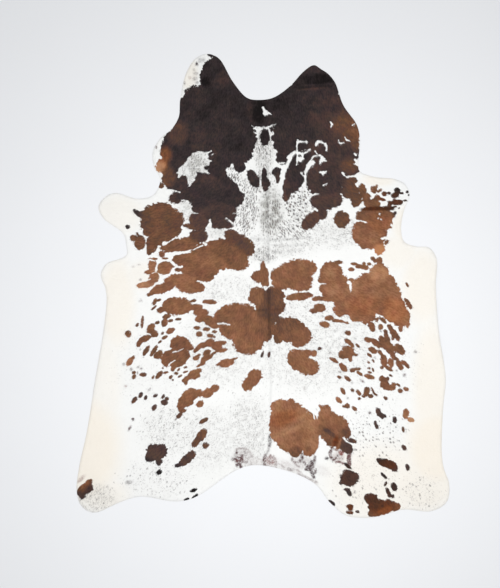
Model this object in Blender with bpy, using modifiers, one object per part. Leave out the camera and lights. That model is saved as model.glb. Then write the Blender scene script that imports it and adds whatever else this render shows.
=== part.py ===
"""Cowhide rug: one whole hide with its hair on, lying flat, hair side up, its neck towards +Y.

The hide is drafted on a pattern in centimetres: "across" grows to its right, "along" towards its
neck, and the backbone runs near across = 0. The pattern is scaled to HIDE_LENGTH, filled with
points, raised along its low folds, and thickened into one closed sheet that rests on z = 0.
"""

import math
from collections import namedtuple

import bmesh
import bpy
from mathutils import Vector
from mathutils.geometry import delaunay_2d_cdt

NAME = "cowhide_rug"

# Driving dimensions, in metres
HIDE_LENGTH = 2.31  # cheek tip to hind-leg tip
LEATHER = 0.0015
COAT = 0.0035  # the flattened hair, standing on the leather
RIM_SHARE = 0.6  # the sheet's thickness at its cut edge, as a share of the full one
RIM_WIDTH = 0.015  # the band over which the coat thins towards the cut edge

# Steps between points, in metres
EDGE_STEP = 0.020  # along the cut edge
FLAT_STEP = 0.060  # between points where the hide lies flat
FOLD_STEP = 0.028  # between points on a fold
FOLD_FLOOR = 0.0002  # a rise below this counts as flat
CURVE_STEPS = 16  # samples on each stretch of the edge curve

# How the outline is filled: only triangles inside it, with points closer than this merged
FILL_INSIDE = 1
FILL_TOLERANCE = 1e-6

# The cut edge, clockwise from the neck, in pattern centimetres. A smooth curve passes through it.
EdgePoint = namedtuple("EdgePoint", "place across along")
EDGE = (
    EdgePoint("neck", -8.0, 94.2),
    EdgePoint("neck", -2.5, 93.1),
    EdgePoint("neck", 5.0, 94.2),
    EdgePoint("neck", 13.5, 100.0),
    EdgePoint("right cheek", 20.5, 107.5),
    EdgePoint("right cheek", 25.5, 110.5),
    EdgePoint("right cheek", 29.0, 108.5),
    EdgePoint("right cheek", 32.5, 106.2),
    EdgePoint("right cheek", 36.0, 101.8),
    EdgePoint("right cheek", 40.2, 90.5),
    EdgePoint("right shoulder", 47.0, 80.5),
    EdgePoint("right shoulder", 48.6, 73.0),
    EdgePoint("right shoulder", 47.9, 63.0),
    EdgePoint("right shoulder", 48.3, 57.5),
    EdgePoint("right foreleg", 51.5, 55.8),
    EdgePoint("right foreleg", 57.0, 54.4),
    EdgePoint("right foreleg", 66.0, 53.5),
    EdgePoint("right foreleg", 71.0, 51.0),
    EdgePoint("right foreleg", 73.5, 45.5),
    EdgePoint("right foreleg", 70.6, 37.5),
    EdgePoint("right foreleg", 69.2, 28.0),
    EdgePoint("right flank", 70.8, 22.2),
    EdgePoint("right flank", 76.5, 19.9),
    EdgePoint("right flank", 83.0, 19.3),
    EdgePoint("right flank", 86.9, 14.0),
    EdgePoint("right flank", 86.4, 0.5),
    EdgePoint("right flank", 88.0, -23.5),
    EdgePoint("right flank", 91.5, -46.0),
    EdgePoint("right flank", 90.2, -61.0),
    EdgePoint("right flank", 89.5, -83.0),
    EdgePoint("right hind leg", 90.5, -91.0),
    EdgePoint("right hind leg", 93.2, -99.0),
    EdgePoint("right hind leg", 92.0, -108.0),
    EdgePoint("right hind leg", 84.5, -112.6),
    EdgePoint("right hind leg", 70.0, -111.9),
    EdgePoint("right hind leg", 58.5, -115.1),
    EdgePoint("right hind leg", 49.0, -116.0),
    EdgePoint("right hind leg", 41.0, -114.5),
    EdgePoint("right hind leg", 33.5, -108.3),
    EdgePoint("rump", 26.5, -99.5),
    EdgePoint("rump", 15.0, -93.5),
    EdgePoint("tail root", -3.5, -89.6),
    EdgePoint("rump", -13.1, -92.1),
    EdgePoint("rump", -33.5, -105.5),
    EdgePoint("left hind leg", -43.0, -107.8),
    EdgePoint("left hind leg", -61.5, -105.4),
    EdgePoint("left hind leg", -71.5, -108.2),
    EdgePoint("left hind leg", -84.5, -113.4),
    EdgePoint("left hind leg", -90.5, -110.5),
    EdgePoint("left hind leg", -93.2, -103.0),
    EdgePoint("left flank", -92.0, -90.5),
    EdgePoint("left flank", -88.3, -73.5),
    EdgePoint("left flank", -84.0, -47.0),
    EdgePoint("left flank", -79.8, -22.0),
    EdgePoint("left flank", -78.3, -6.0),
    EdgePoint("left flank", -79.0, -1.0),
    EdgePoint("left flank", -81.2, 5.5),
    EdgePoint("left flank", -78.5, 11.1),
    EdgePoint("left flank", -71.5, 13.7),
    EdgePoint("left foreleg", -68.4, 15.5),
    EdgePoint("left foreleg", -68.5, 20.0),
    EdgePoint("left foreleg", -70.0, 26.0),
    EdgePoint("left foreleg", -80.0, 33.9),
    EdgePoint("left foreleg", -82.4, 39.5),
    EdgePoint("left foreleg", -78.5, 44.9),
    EdgePoint("left foreleg", -73.5, 46.5),
    EdgePoint("left foreleg", -62.5, 43.7),
    EdgePoint("left foreleg", -55.5, 45.2),
    EdgePoint("left shoulder", -53.0, 48.0),
    EdgePoint("left shoulder", -51.5, 53.5),
    EdgePoint("left shoulder", -54.6, 59.5),
    EdgePoint("left shoulder", -55.2, 67.0),
    EdgePoint("left shoulder", -51.2, 74.0),
    EdgePoint("left shoulder", -46.0, 78.2),
    EdgePoint("left cheek", -42.2, 84.5),
    EdgePoint("left cheek", -41.5, 93.0),
    EdgePoint("left cheek", -38.5, 106.2),
    EdgePoint("left cheek", -33.5, 114.0),
    EdgePoint("left cheek", -27.5, 116.1),
    EdgePoint("left cheek", -22.0, 113.8),
    EdgePoint("neck", -15.0, 102.2),
)

# Low ridges where the hide doesn't lie quite flat: the crest runs from start to end, in pattern
# centimetres, and the hide comes down to the floor at half_width (cm) from it. rise is in metres.
Fold = namedtuple("Fold", "place start end half_width rise")
FOLDS = (
    Fold("backbone, withers to loin", (2.0, 60.0), (1.5, -32.0), 7.0, 0.0030),
    Fold("backbone, loin to tail", (1.5, -32.0), (3.0, -82.0), 7.0, 0.0025),
    Fold("crease across the loin", (-24.0, -13.0), (26.0, -12.0), 6.0, 0.0030),
    Fold("crease across the right cheek", (20.0, 100.0), (33.0, 99.5), 6.0, 0.0040),
    Fold("crease down the left cheek", (-14.5, 84.0), (-17.0, 94.0), 5.0, 0.0030),
    Fold("crease across the right foreleg", (46.0, 38.5), (64.0, 39.5), 6.0, 0.0040),
    Fold("lift of the left foreleg", (-74.0, 40.0), (-62.0, 32.0), 8.0, 0.0035),
    Fold("slack in the right flank", (84.0, 6.0), (87.0, -34.0), 8.0, 0.0045),
    Fold("slack in the left flank", (-74.0, -20.0), (-80.0, -52.0), 8.0, 0.0040),
    Fold("wave over the rump, upper", (8.0, -66.0), (28.0, -60.0), 6.0, 0.0040),
    Fold("wave over the rump, lower", (12.0, -78.0), (30.0, -70.0), 6.0, 0.0035),
    Fold("wave at the right thigh", (36.0, -76.0), (46.0, -88.0), 6.0, 0.0045),
    Fold("slack at the right hind leg", (72.0, -96.0), (84.0, -104.0), 8.0, 0.0040),
    Fold("slack at the left hind leg", (-84.0, -92.0), (-76.0, -104.0), 8.0, 0.0040),
)

COAT_COLOUR = (0.82, 0.79, 0.74, 1.0)  # the white ground of the coat
COAT_ROUGHNESS = 0.75

DRAFTED_ALONG = [point.along for point in EDGE]
SCALE = HIDE_LENGTH / (max(DRAFTED_ALONG) - min(DRAFTED_ALONG))  # metres for a pattern centimetre


def clear_scene():
    """Removes what the new file starts with."""
    for item in list(bpy.data.objects):
        bpy.data.objects.remove(item)


def on_floor(across, along):
    """A pattern point's place on the floor, in metres."""
    return Vector((across, along)) * SCALE


def curve_between(before, start, end, after, steps):
    """Points from start towards end on the smooth curve through four points (centripetal)."""
    knots = [0.0]
    for one, other in ((before, start), (start, end), (end, after)):
        knots.append(knots[-1] + math.sqrt((other - one).length))

    def mix(one, other, low, high, at):
        return one.lerp(other, (at - knots[low]) / (knots[high] - knots[low]))

    points = []
    for step in range(steps):
        at = knots[1] + (knots[2] - knots[1]) * step / steps
        first = mix(before, start, 0, 1, at)
        middle = mix(start, end, 1, 2, at)
        last = mix(end, after, 2, 3, at)
        points.append(mix(mix(first, middle, 0, 2, at), mix(middle, last, 1, 3, at), 1, 2, at))
    return points


def closed_curve(corners, steps):
    """A closed smooth curve through the corners, as many points."""
    count = len(corners)
    points = []
    for i in range(count):
        four = [corners[(i + k) % count] for k in (-1, 0, 1, 2)]
        points.extend(curve_between(*four, steps))
    return points


def evenly_spaced(loop, step):
    """The closed loop again, with points about one step apart."""
    ends = loop[1:] + loop[:1]
    lengths = [(end - start).length for start, end in zip(loop, ends)]
    count = round(sum(lengths) / step)
    spacing = sum(lengths) / count
    points, side, passed = [], 0, 0.0
    for i in range(count):
        target = i * spacing
        while passed + lengths[side] < target:
            passed += lengths[side]
            side += 1
        points.append(loop[side].lerp(ends[side], (target - passed) / lengths[side]))
    return points


def centred(loop):
    """The loop, moved so that the middle of its bounding box is the origin."""
    middle = Vector(
        (min(p[axis] for p in loop) + max(p[axis] for p in loop)) / 2 for axis in (0, 1)
    )
    return [p - middle for p in loop], middle


def inset(loop, width):
    """The clockwise loop's points, each moved inwards by width."""
    moved = []
    for before, point, after in zip(loop[-1:] + loop[:-1], loop, loop[1:] + loop[:1]):
        ahead = (after - before).normalized()
        moved.append(point + Vector((ahead.y, -ahead.x)) * width)
    return moved


def edge_distance(point, loop):
    """How far a point is from the loop. It is negative outside."""
    nearest, inside = math.inf, False
    for start, end in zip(loop, loop[1:] + loop[:1]):
        side = end - start
        share = min(1.0, max(0.0, (point - start).dot(side) / side.length_squared))
        nearest = min(nearest, (point - start - side * share).length)
        if (start.y > point.y) != (end.y > point.y):
            crossing = start.x + side.x * (point.y - start.y) / side.y
            inside ^= crossing > point.x
    return nearest if inside else -nearest


def rise_at(point, middle):
    """How high the folds lift the hide's underside at a point on the floor."""
    highest = 0.0
    for fold in FOLDS:
        start, end = on_floor(*fold.start) - middle, on_floor(*fold.end) - middle
        crest = end - start
        share = min(1.0, max(0.0, (point - start).dot(crest) / crest.length_squared))
        away = (point - start - crest * share).length / (fold.half_width * SCALE)
        if away < 1.0:
            highest = max(highest, fold.rise * (1.0 + math.cos(math.pi * away)) / 2.0)
    return highest


def lattice(loop, step):
    """Staggered rows of points over the loop's bounding box."""
    half_width = max(p.x for p in loop)
    half_length = max(p.y for p in loop)
    row_gap = step * math.sqrt(3.0) / 2.0
    rows = math.ceil(half_length / row_gap)
    columns = math.ceil(half_width / step)
    for row in range(-rows, rows + 1):
        shift = step / 2.0 if row % 2 else 0.0
        for column in range(-columns, columns + 1):
            yield Vector((column * step + shift, row * row_gap))


def inner_points(loop, middle):
    """Points inside the rim band: close together on the folds, further apart elsewhere."""
    chosen = []
    for step, on_fold in ((FOLD_STEP, True), (FLAT_STEP, False)):
        for point in lattice(loop, step):
            raised = rise_at(point, middle) > FOLD_FLOOR
            if raised == on_fold and edge_distance(point, loop) > RIM_WIDTH + step / 2.0:
                chosen.append(point)
    return chosen


def underside_mesh():
    """The hide's underside as an open surface, and its points that aren't on the cut edge."""
    drafted = [on_floor(point.across, point.along) for point in EDGE]
    edge, middle = centred(evenly_spaced(closed_curve(drafted, CURVE_STEPS), EDGE_STEP))
    points = edge + inset(edge, RIM_WIDTH) + inner_points(edge, middle)
    around = list(range(len(edge)))
    flat, _, faces, *_ = delaunay_2d_cdt(points, [], [around], FILL_INSIDE, FILL_TOLERANCE)

    surface = bmesh.new()
    vertices = [surface.verts.new((p.x, p.y, rise_at(p, middle))) for p in flat]
    for face in faces:
        surface.faces.new([vertices[i] for i in face])
    surface.normal_update()
    for face in surface.faces:
        if face.normal.z < 0.0:
            face.normal_flip()
    surface.verts.index_update()
    inner = [vertex.index for vertex in surface.verts if not vertex.is_boundary]
    mesh = bpy.data.meshes.new("hide")
    surface.to_mesh(mesh)
    surface.free()
    return mesh, inner


def coat_material():
    """The white hair that covers most of the hide."""
    material = bpy.data.materials.new("coat")
    material.use_nodes = True
    shader = material.node_tree.nodes["Principled BSDF"]
    shader.inputs["Base Color"].default_value = COAT_COLOUR
    shader.inputs["Roughness"].default_value = COAT_ROUGHNESS
    shader.inputs["Metallic"].default_value = 0.0
    return material


def make_hide(collection):
    """The hide: its underside, thickened upwards by leather and coat, and thinner at the rim."""
    mesh, inner = underside_mesh()
    mesh.materials.append(coat_material())
    hide = bpy.data.objects.new("hide", mesh)
    collection.objects.link(hide)
    full_coat = hide.vertex_groups.new(name="full_coat")
    full_coat.add(inner, 1.0, "REPLACE")
    thickness = hide.modifiers.new("leather_and_coat", "SOLIDIFY")
    thickness.thickness = LEATHER + COAT
    thickness.offset = 1.0
    thickness.vertex_group = full_coat.name
    thickness.thickness_vertex_group = RIM_SHARE
    return hide


def main():
    clear_scene()
    collection = bpy.data.collections.new(NAME)
    bpy.context.scene.collection.children.link(collection)
    make_hide(collection)


main()
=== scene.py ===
"""Cowhide rug: the looks of one whole hide with its hair on, lying flat, its neck towards +Y.

The coat is drafted on the pattern that the solid was drafted on, in centimetres: "across" grows
to the hide's right, "along" towards its neck, and the backbone runs near across = 0. The skin is
one thin closed sheet that takes its outline from the frame, and the hair lies on it in four
pieces, a quarter of the hide each.
"""

import math
from collections import namedtuple
from functools import cache
import bmesh
import bpy
import numpy as np
from bpy.props import FloatProperty, FloatVectorProperty, IntProperty, PointerProperty
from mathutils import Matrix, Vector
from mathutils.geometry import delaunay_2d_cdt


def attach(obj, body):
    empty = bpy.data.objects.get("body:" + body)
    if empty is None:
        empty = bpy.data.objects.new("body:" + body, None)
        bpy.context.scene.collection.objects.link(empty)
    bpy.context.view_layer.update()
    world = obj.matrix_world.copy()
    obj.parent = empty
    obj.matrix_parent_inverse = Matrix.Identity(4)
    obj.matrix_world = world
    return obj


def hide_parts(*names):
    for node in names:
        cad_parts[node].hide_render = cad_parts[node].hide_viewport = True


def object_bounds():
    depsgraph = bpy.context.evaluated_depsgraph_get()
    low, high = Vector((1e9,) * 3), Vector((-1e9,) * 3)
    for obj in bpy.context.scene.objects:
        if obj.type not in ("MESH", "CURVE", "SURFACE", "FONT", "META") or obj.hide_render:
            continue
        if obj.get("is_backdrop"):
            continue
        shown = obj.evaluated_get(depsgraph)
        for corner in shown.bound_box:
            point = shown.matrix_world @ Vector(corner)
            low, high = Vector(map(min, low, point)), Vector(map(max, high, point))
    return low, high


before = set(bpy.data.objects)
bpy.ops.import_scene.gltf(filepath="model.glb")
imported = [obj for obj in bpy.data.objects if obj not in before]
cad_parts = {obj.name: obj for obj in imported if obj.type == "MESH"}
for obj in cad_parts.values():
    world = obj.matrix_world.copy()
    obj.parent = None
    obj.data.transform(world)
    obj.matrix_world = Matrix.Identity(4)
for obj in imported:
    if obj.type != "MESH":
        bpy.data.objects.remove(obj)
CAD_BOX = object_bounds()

bl_info = {
    "name": "Cowhide Rug",
    "version": (1, 0, 0),
    "blender": (4, 5, 0),
    "location": "3D View > Sidebar > Cowhide Rug",
    "description": "Makes a cowhide rug with its skin, its lying hair and its coat markings",
    "category": "Add Mesh",
}


def table(kind, *rows):
    """Rows of one kind."""
    return tuple(kind(*row) for row in rows)


# The pattern, in centimetres, and its scale
PATTERN_LENGTH = 232.1  # cheek tip to hind-leg tip
SCALE = (CAD_BOX[1].y - CAD_BOX[0].y) / PATTERN_LENGTH  # metres for a pattern centimetre
CHART_HALF_WIDTH = 97.0
CHART_HALF_LENGTH = 120.0
CHART_CELL = 0.2

# How the lobes of a patch run together, in pattern centimetres
REACH = 3.0  # depths are told apart this far from an edge
MERGE = 8.0  # a higher number leaves sharper corners where two lobes meet
SHADE_MERGE = 1.2  # a higher number leaves a sharper change of shade between two lobes
SPOT_SPREAD = 0.25  # how much wider than its row a small spot is
GLOW_REACH = 1.25  # half lengths from an ellipse's middle to where its glow ends
GLOW_FALL = 0.75  # half lengths over which it falls
LINE_GLOW = 1.5  # a line's glow on the line itself, which is cut to 1
LINE_FALL = 0.75  # how much of it each half width from the line takes away
LINE_MARGIN = 1.0
LAST_CELL = 1.001  # keeps a place inside a chart's last cell
RAGGED_SHARE = 0.24  # an edge's raggedness, as a share of its lobe's smaller half length
GAP_RAGGED = 0.28  # the raggedness of a gap's edge
GAP_REACH = 1.0  # how far round a gap the edge is only as ragged as the gap's own
THREAD_TAPER = 0.5  # how much of its width a thread of white loses by its far end
CREASE_DEPTH = 0.0007  # metres
SMALL, SMALLER, SMALLEST = 1e-6, 1e-9, 1e-12  # keep a number that divides away from 0

# The skin, in metres
WALL_ON_MAP = 0.006  # width that the cut edge gets on the skin's own map
UNDERSIDE_LIFT = 0.0003  # between the floor and the suede
SPOTTED_STEP = 0.0040  # between points near the edge of a patch
PLAIN_STEP = 0.0105  # between points elsewhere
UNDERSIDE_STEP = 0.045
RIM_STEPS = 4  # rim points for each one of the frame's
EDGE_BAND = 0.45  # pattern centimetres either side of a patch's edge that get SPOTTED_STEP
FILL_INSIDE = 1  # only the triangles inside the outline
FILL_TOLERANCE = 1e-7
SAME_PLACE = 1e-6  # points of the frame's outline this near are one
FACES_DOWN = -0.7  # the upward part of a face's normal, on the underside
CLEAR_OF_RIM = 0.7  # steps from the rim to the first points inside it
FAINTEST = 0.05  # a veil or crease that is stronger gets SPOTTED_STEP
RIM_CELLS = 5  # the distance from the rim is measured at every fifth cell of a chart
AT_ONCE = 2000  # places measured together
MAP_GAP = 0.01  # between the two sides on the skin's own map
UNDERSIDE_ON_MAP = 0.8  # how much of the rest of the map's width the underside takes
HAIR_SIDE, SUEDE_SIDE, CUT_EDGE = range(3)  # the skin's material slots

# The hair
HAIR_PIECES = ("coat_neck_and_shoulders", "coat_back", "coat_loin_and_flanks", "coat_rump_and_hind_legs")
SHORTEST_HAIR = 0.3  # at the cut edge, as a share of the full length
TRIMMED_BAND = 0.014  # metres from the cut edge to hair of full length
BLADE_SIDES = 3
SHORTER, LONGER = 0.65, 1.35  # how far the hair's length spreads
STRAY_PICK, LIFT_PICK, LENGTH_PICK, STRAND_PICK = range(11, 15)  # one for each kind of random number
QUARTER_SEEDS = 100  # between the seeds of two pieces

# Low ridges where the hide doesn't lie quite flat, as in the solid: the crest runs from start to
# end, in pattern centimetres, and comes down to the floor at half_width. rise is in metres.
Fold = namedtuple("Fold", "place start end half_width rise")
FOLDS = table(
    Fold,
    ("backbone, withers to loin", (2, 60), (1.5, -32), 7, 0.0030),
    ("backbone, loin to tail", (1.5, -32), (3, -82), 7, 0.0025),
    ("crease across the loin", (-24, -13), (26, -12), 6, 0.0030),
    ("crease across the right cheek", (20, 100), (33, 99.5), 6, 0.0040),
    ("crease down the left cheek", (-14.5, 84), (-17, 94), 5, 0.0030),
    ("crease across the right foreleg", (46, 38.5), (64, 39.5), 6, 0.0040),
    ("lift of the left foreleg", (-74, 40), (-62, 32), 8, 0.0035),
    ("slack in the right flank", (84, 6), (87, -34), 8, 0.0045),
    ("slack in the left flank", (-74, -20), (-80, -52), 8, 0.0040),
    ("wave over the rump, upper", (8, -66), (28, -60), 6, 0.0040),
    ("wave over the rump, lower", (12, -78), (30, -70), 6, 0.0035),
    ("wave at the right thigh", (36, -76), (46, -88), 6, 0.0045),
    ("slack at the right hind leg", (72, -96), (84, -104), 8, 0.0040),
    ("slack at the left hind leg", (-84, -92), (-76, -104), 8, 0.0040),
)

# How the hair lies: at each distance along, the angle it has turned outwards from the tail's
# direction far from the backbone, in degrees
Lie = namedtuple("Lie", "along outwards")
LIES = table(
    Lie,
    (-120, 30), (-90, 40), (-50, 45), (-15, 62), (15, 78), (45, 60), (70, 30), (100, 15), (120, 15),
)
LIE_WIDTH = 25.0  # pattern centimetres from the backbone within which the hair turns outwards

# The coat's markings, each a row of an ellipse: its middle, its two half lengths, and its long
# axis' turn from "across" in degrees
Lobe = namedtuple("Lobe", "across along long wide turn shade")  # shade: 0 tan to 1.2 black
Gap = namedtuple("Gap", "across along long wide turn")  # white inside a patch
Tone = namedtuple("Tone", "across along long wide turn shade strength")  # a change of shade, mostly of the coat's own colour; a few rows are painted shade or a painted highlight at folds
Ticking = namedtuple("Ticking", "across along long wide turn fine medium coarse grizzle")
Tint = namedtuple("Tint", "across along long wide turn strength")  # cream in the white
Veil = namedtuple("Veil", "across along long wide turn strength warmth")  # thin hair of another shade
Rust = namedtuple("Rust", "across along long wide turn strength")  # a redder brown in a patch
# The same, each a row of a line's half width and the places that the line runs through
Thread = namedtuple("Thread", "half_width places")  # white through a patch
Wisp = namedtuple("Wisp", "half_width strength warmth places")  # dark hair in the white
Crease = namedtuple("Crease", "half_width strength places")  # a furrow, lower in the skin, along which the coat's colour is darkened with painted shade

TONES = table(
    Tone,
    # neck and shoulders
    (-42.5, 76.5, 6, 6.5, 0, 0.78, 0.9), (-49, 65, 4, 5, 0, 0.54, 0.95), (-51.3, 59.2, 4.4, 3.4, 75, 0, 1),
    (-47.5, 54, 4.5, 5.5, 0, 0.62, 0.9), (41, 80, 7.5, 8, 0, 0.62, 0.85), (46.5, 73, 3, 7, 0, 0.6, 0.9),
    # the row at (27, 103.5) and the two thin rows after it are painted shade and a painted highlight at the
    # right cheek's crease: darker above the fold, a dark line on it and a lighter line below
    (43, 60, 5, 4, 0, 0.62, 0.8), (27, 103.5, 9, 3, 0, 1.2, 0.9), (27, 101.6, 7, 0.9, 4, 1.2, 1),
    (25, 98.4, 9, 0.6, 4, 0.84, 0.7), (-2.3, 88, 4.4, 7.5, 0, 1.2, 1), (-6.4, 88, 1.8, 4.5, 0, 0.95, 0.5),
    (-10, 100, 9, 12, 30, 1, 0.5), (25.5, 56, 3.2, 8, 0, 0.84, 0.8), (26, 68.5, 4, 4, 0, 0.84, 0.7),
    (45, 51, 4.5, 5, 0, 0.68, 0.7), (-25, 52, 8, 3, -25, 0.86, 0.6), (-28.5, 102, 2.5, 3, 0, 1.2, 0.9),
    (-20, 104, 4, 6, -50, 0.92, 0.7), (-33, 73, 4, 5, 0, 0.92, 0.6), (30, 92, 6, 4, 0, 0.92, 0.6),
    (-20, 92, 8, 4, 10, 1.06, 0.6), (-24, 76, 7, 4, 0, 0.96, 0.5), (8, 90, 4, 4, 0, 1.16, 0.7),
    (-14, 72, 5, 6, 0, 1.12, 0.7), (-30, 86, 5, 5, 0, 1.12, 0.6),
    # backbone
    (3.5, -5, 5, 3, 90, 0.68, 0.9), (4, -13, 5, 5, 0, 0.7, 0.9), (6, -22, 4, 6, 0, 0.6, 0.8),
    (-13, 23, 7, 3, -30, 0.74, 0.8), (-18, 17, 6, 4, 0, 0.56, 0.7), (16, 3, 5, 6, 0, 0.5, 0.5),
    (-30, 13, 8, 4, 0, 0.35, 0.6),
    # rump
    # the row at (12, -72.5) is a painted highlight: a lighter band where the rump's wave catches the light
    (8, -61, 4, 3, 0, 0.3, 0.7), (9, -67, 7, 4, 20, 0.4, 0.8), (12, -72.5, 9, 1.8, 22, 0.14, 0.8),
    (16.2, -82.5, 3.4, 2.8, 0, 0.64, 0.8), (22.8, -81, 1.2, 1.2, 0, 0.62, 0.7),
    # the row at (33, -73) is painted shade: a darker band along the rump's fold
    (33, -73, 4.4, 1.3, -35, 0.76, 0.9), (36.2, -77.6, 1.2, 2.6, -14, 0.74, 0.95),
    (41.6, -73.4, 3.2, 2.6, 0, 0.66, 0.8), (20, -66, 4, 5, 0, 0.22, 0.6),
    # the back patches
    (58, 6, 5, 5, 90, 0.08, 0.8), (35, -2, 5, 3, 0, 0.24, 0.8), (34, 6, 4, 4, 0, 0.24, 0.8),
    (66, -13, 5, 6, 30, 0.2, 0.8), (-40, 3, 6, 3, 0, 0.28, 0.7), (-22, 10, 6, 4, 0, 0.36, 0.7),
    (45, -1, 3, 5, 0, 0.2, 0.6), (48, -14, 8, 3, -10, 0.42, 0.6), (56, -9, 3, 8, 40, 0.44, 0.5),
    (-10, -16, 7, 3, 0, 0.5, 0.6), (-14, -24, 4, 7, 20, 0.36, 0.6), (-3, -28, 4, 4, 0, 0.36, 0.6),
    (-42, -10, 6, 3, 0, 0.36, 0.6), (-43, -35.5, 5, 4, 0, 0.5, 0.5), (20, 8, 5, 3, 0, 0.44, 0.6),
    (38.2, -78.5, 3.6, 0.7, 72, 0.3, 0.8), (57, 24, 4, 4, 0, 0.26, 0.7), (50, 26, 4, 5, 0, 0.42, 0.5),
    # right foreleg
    (56, 38.6, 10.5, 1, 0, 0.72, 0.95), (58, 17.8, 3.2, 3, 0, 0, 1), (50, 35.4, 5, 2.6, 0, 0.6, 0.8),
    (60, 35.5, 5, 2.4, 0, 0.52, 0.6),
    # right hind leg
    (63.5, -112, 7, 2.6, 20, 0.5, 0.9), (55.5, -105.5, 4, 3.4, 0, 0.88, 0.7),
    (58, -112.8, 3, 1.6, 10, 0.6, 0.6),
)

TICKINGS = table(
    Ticking,
    # down the middle of the neck, and the bare patch on the left shoulder
    (0.5, 68, 5.5, 12, 0, 0.7, 0.5, 0.25, 0.32), (-33.5, 61, 7, 7, 0, 0.7, 0.4, 0.12, 0.5),
    (-37, 55, 7, 6, 0, 0.6, 0.15, 0, 0.3), (-37, 38, 5, 7, 0, 0.5, 0.15, 0.05, 0.28),
    (-23, 27, 6, 4, 0, 0.4, 0.05, 0, 0.25),
    # the fan between the shoulders
    (-14.5, 54, 5, 6, 0, 0.6, 1, 0.6, 0.05), (-8.5, 39, 7, 14, 0, 0.7, 1.3, 0.3, 0.12),
    (17.5, 40, 8, 12, 0, 0.5, 0.35, 1.1, 0.14), (4, 37, 6.5, 13, 0, 0.8, 0.5, 0.1, 0.68),
    (12, 28, 14, 6, 0, 0.6, 0.7, 0.2, 0.15), (12, 22, 20, 8, 0, 0.5, 0.15, 0.05, 0.14),
    (-2, 52, 9, 7, 0, 0.6, 0.6, 0.3, 0.2), (36, 27, 15, 9, 0, 0.45, 0.2, 0.05, 0.16),
    (0, 16, 8, 5, 0, 0.7, 0.4, 0.1, 0.25),
    # the middle of the back and the loin
    (24, -28, 38, 28, 0, 0.42, 0.06, 0.02, 0.14), (-20, -30, 22, 22, 0, 0.38, 0.06, 0, 0.14),
    (-17, -2, 20, 8, 0, 0.4, 0.06, 0.02, 0.09), (8, 17, 6, 3, 0, 0.5, 0.3, 0, 0.2),
    # towards the tail
    (-7, -72, 13, 20, 0, 0.5, 0.1, 0, 0.16), (-27, -76, 18, 18, 0, 0.38, 0.06, 0, 0.12),
    # hind legs
    (-46, -72, 17, 14, 0, 0.4, 0.14, 0.14, 0.1), (-52, -97, 20, 12, 0, 0.3, 0.08, 0.12, 0.04),
    (-84, -106, 12, 8, 0, 0.5, 0.12, 0.1, 0.16), (56, -74, 17, 14, 0, 0.2, 0.05, 0.4, 0.03),
    (79, -103, 12, 11, 0, 0.26, 0.02, 0.26, 0.03), (50, -96, 20, 16, 0, 0.2, 0.02, 0.1, 0.02),
    (60, -40, 20, 22, 0, 0.15, 0, 0.02, 0.02), (-55, -40, 22, 22, 0, 0.15, 0, 0.02, 0.03),
)

TINTS = table(
    Tint,
    (-88, -81, 19, 30, 0, 0.7), (-80, -50, 10, 34, 0, 0.28), (-73, -8, 10, 26, 0, 0.5),
    (87, -81, 17, 22, 0, 0.75), (84, -50, 10, 38, 0, 0.5), (80, 0, 12, 22, 0, 0.5),
    (58, 53.4, 9, 4, 0, 0.5), (68, 17, 11, 10, 0, 0.4), (80, -99, 20, 16, 0, 0.5),
    (-72, 36, 14, 11, 0, 0.3), (60, -98, 30, 22, 0, 0.45), (-37, 106, 5, 9, 0, 0.5),
    (70, 30, 6, 10, 0, 0.5), (-80, -104, 14, 10, 0, 0.4), (-60, 5, 10, 8, 0, 0.35),
)

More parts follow.
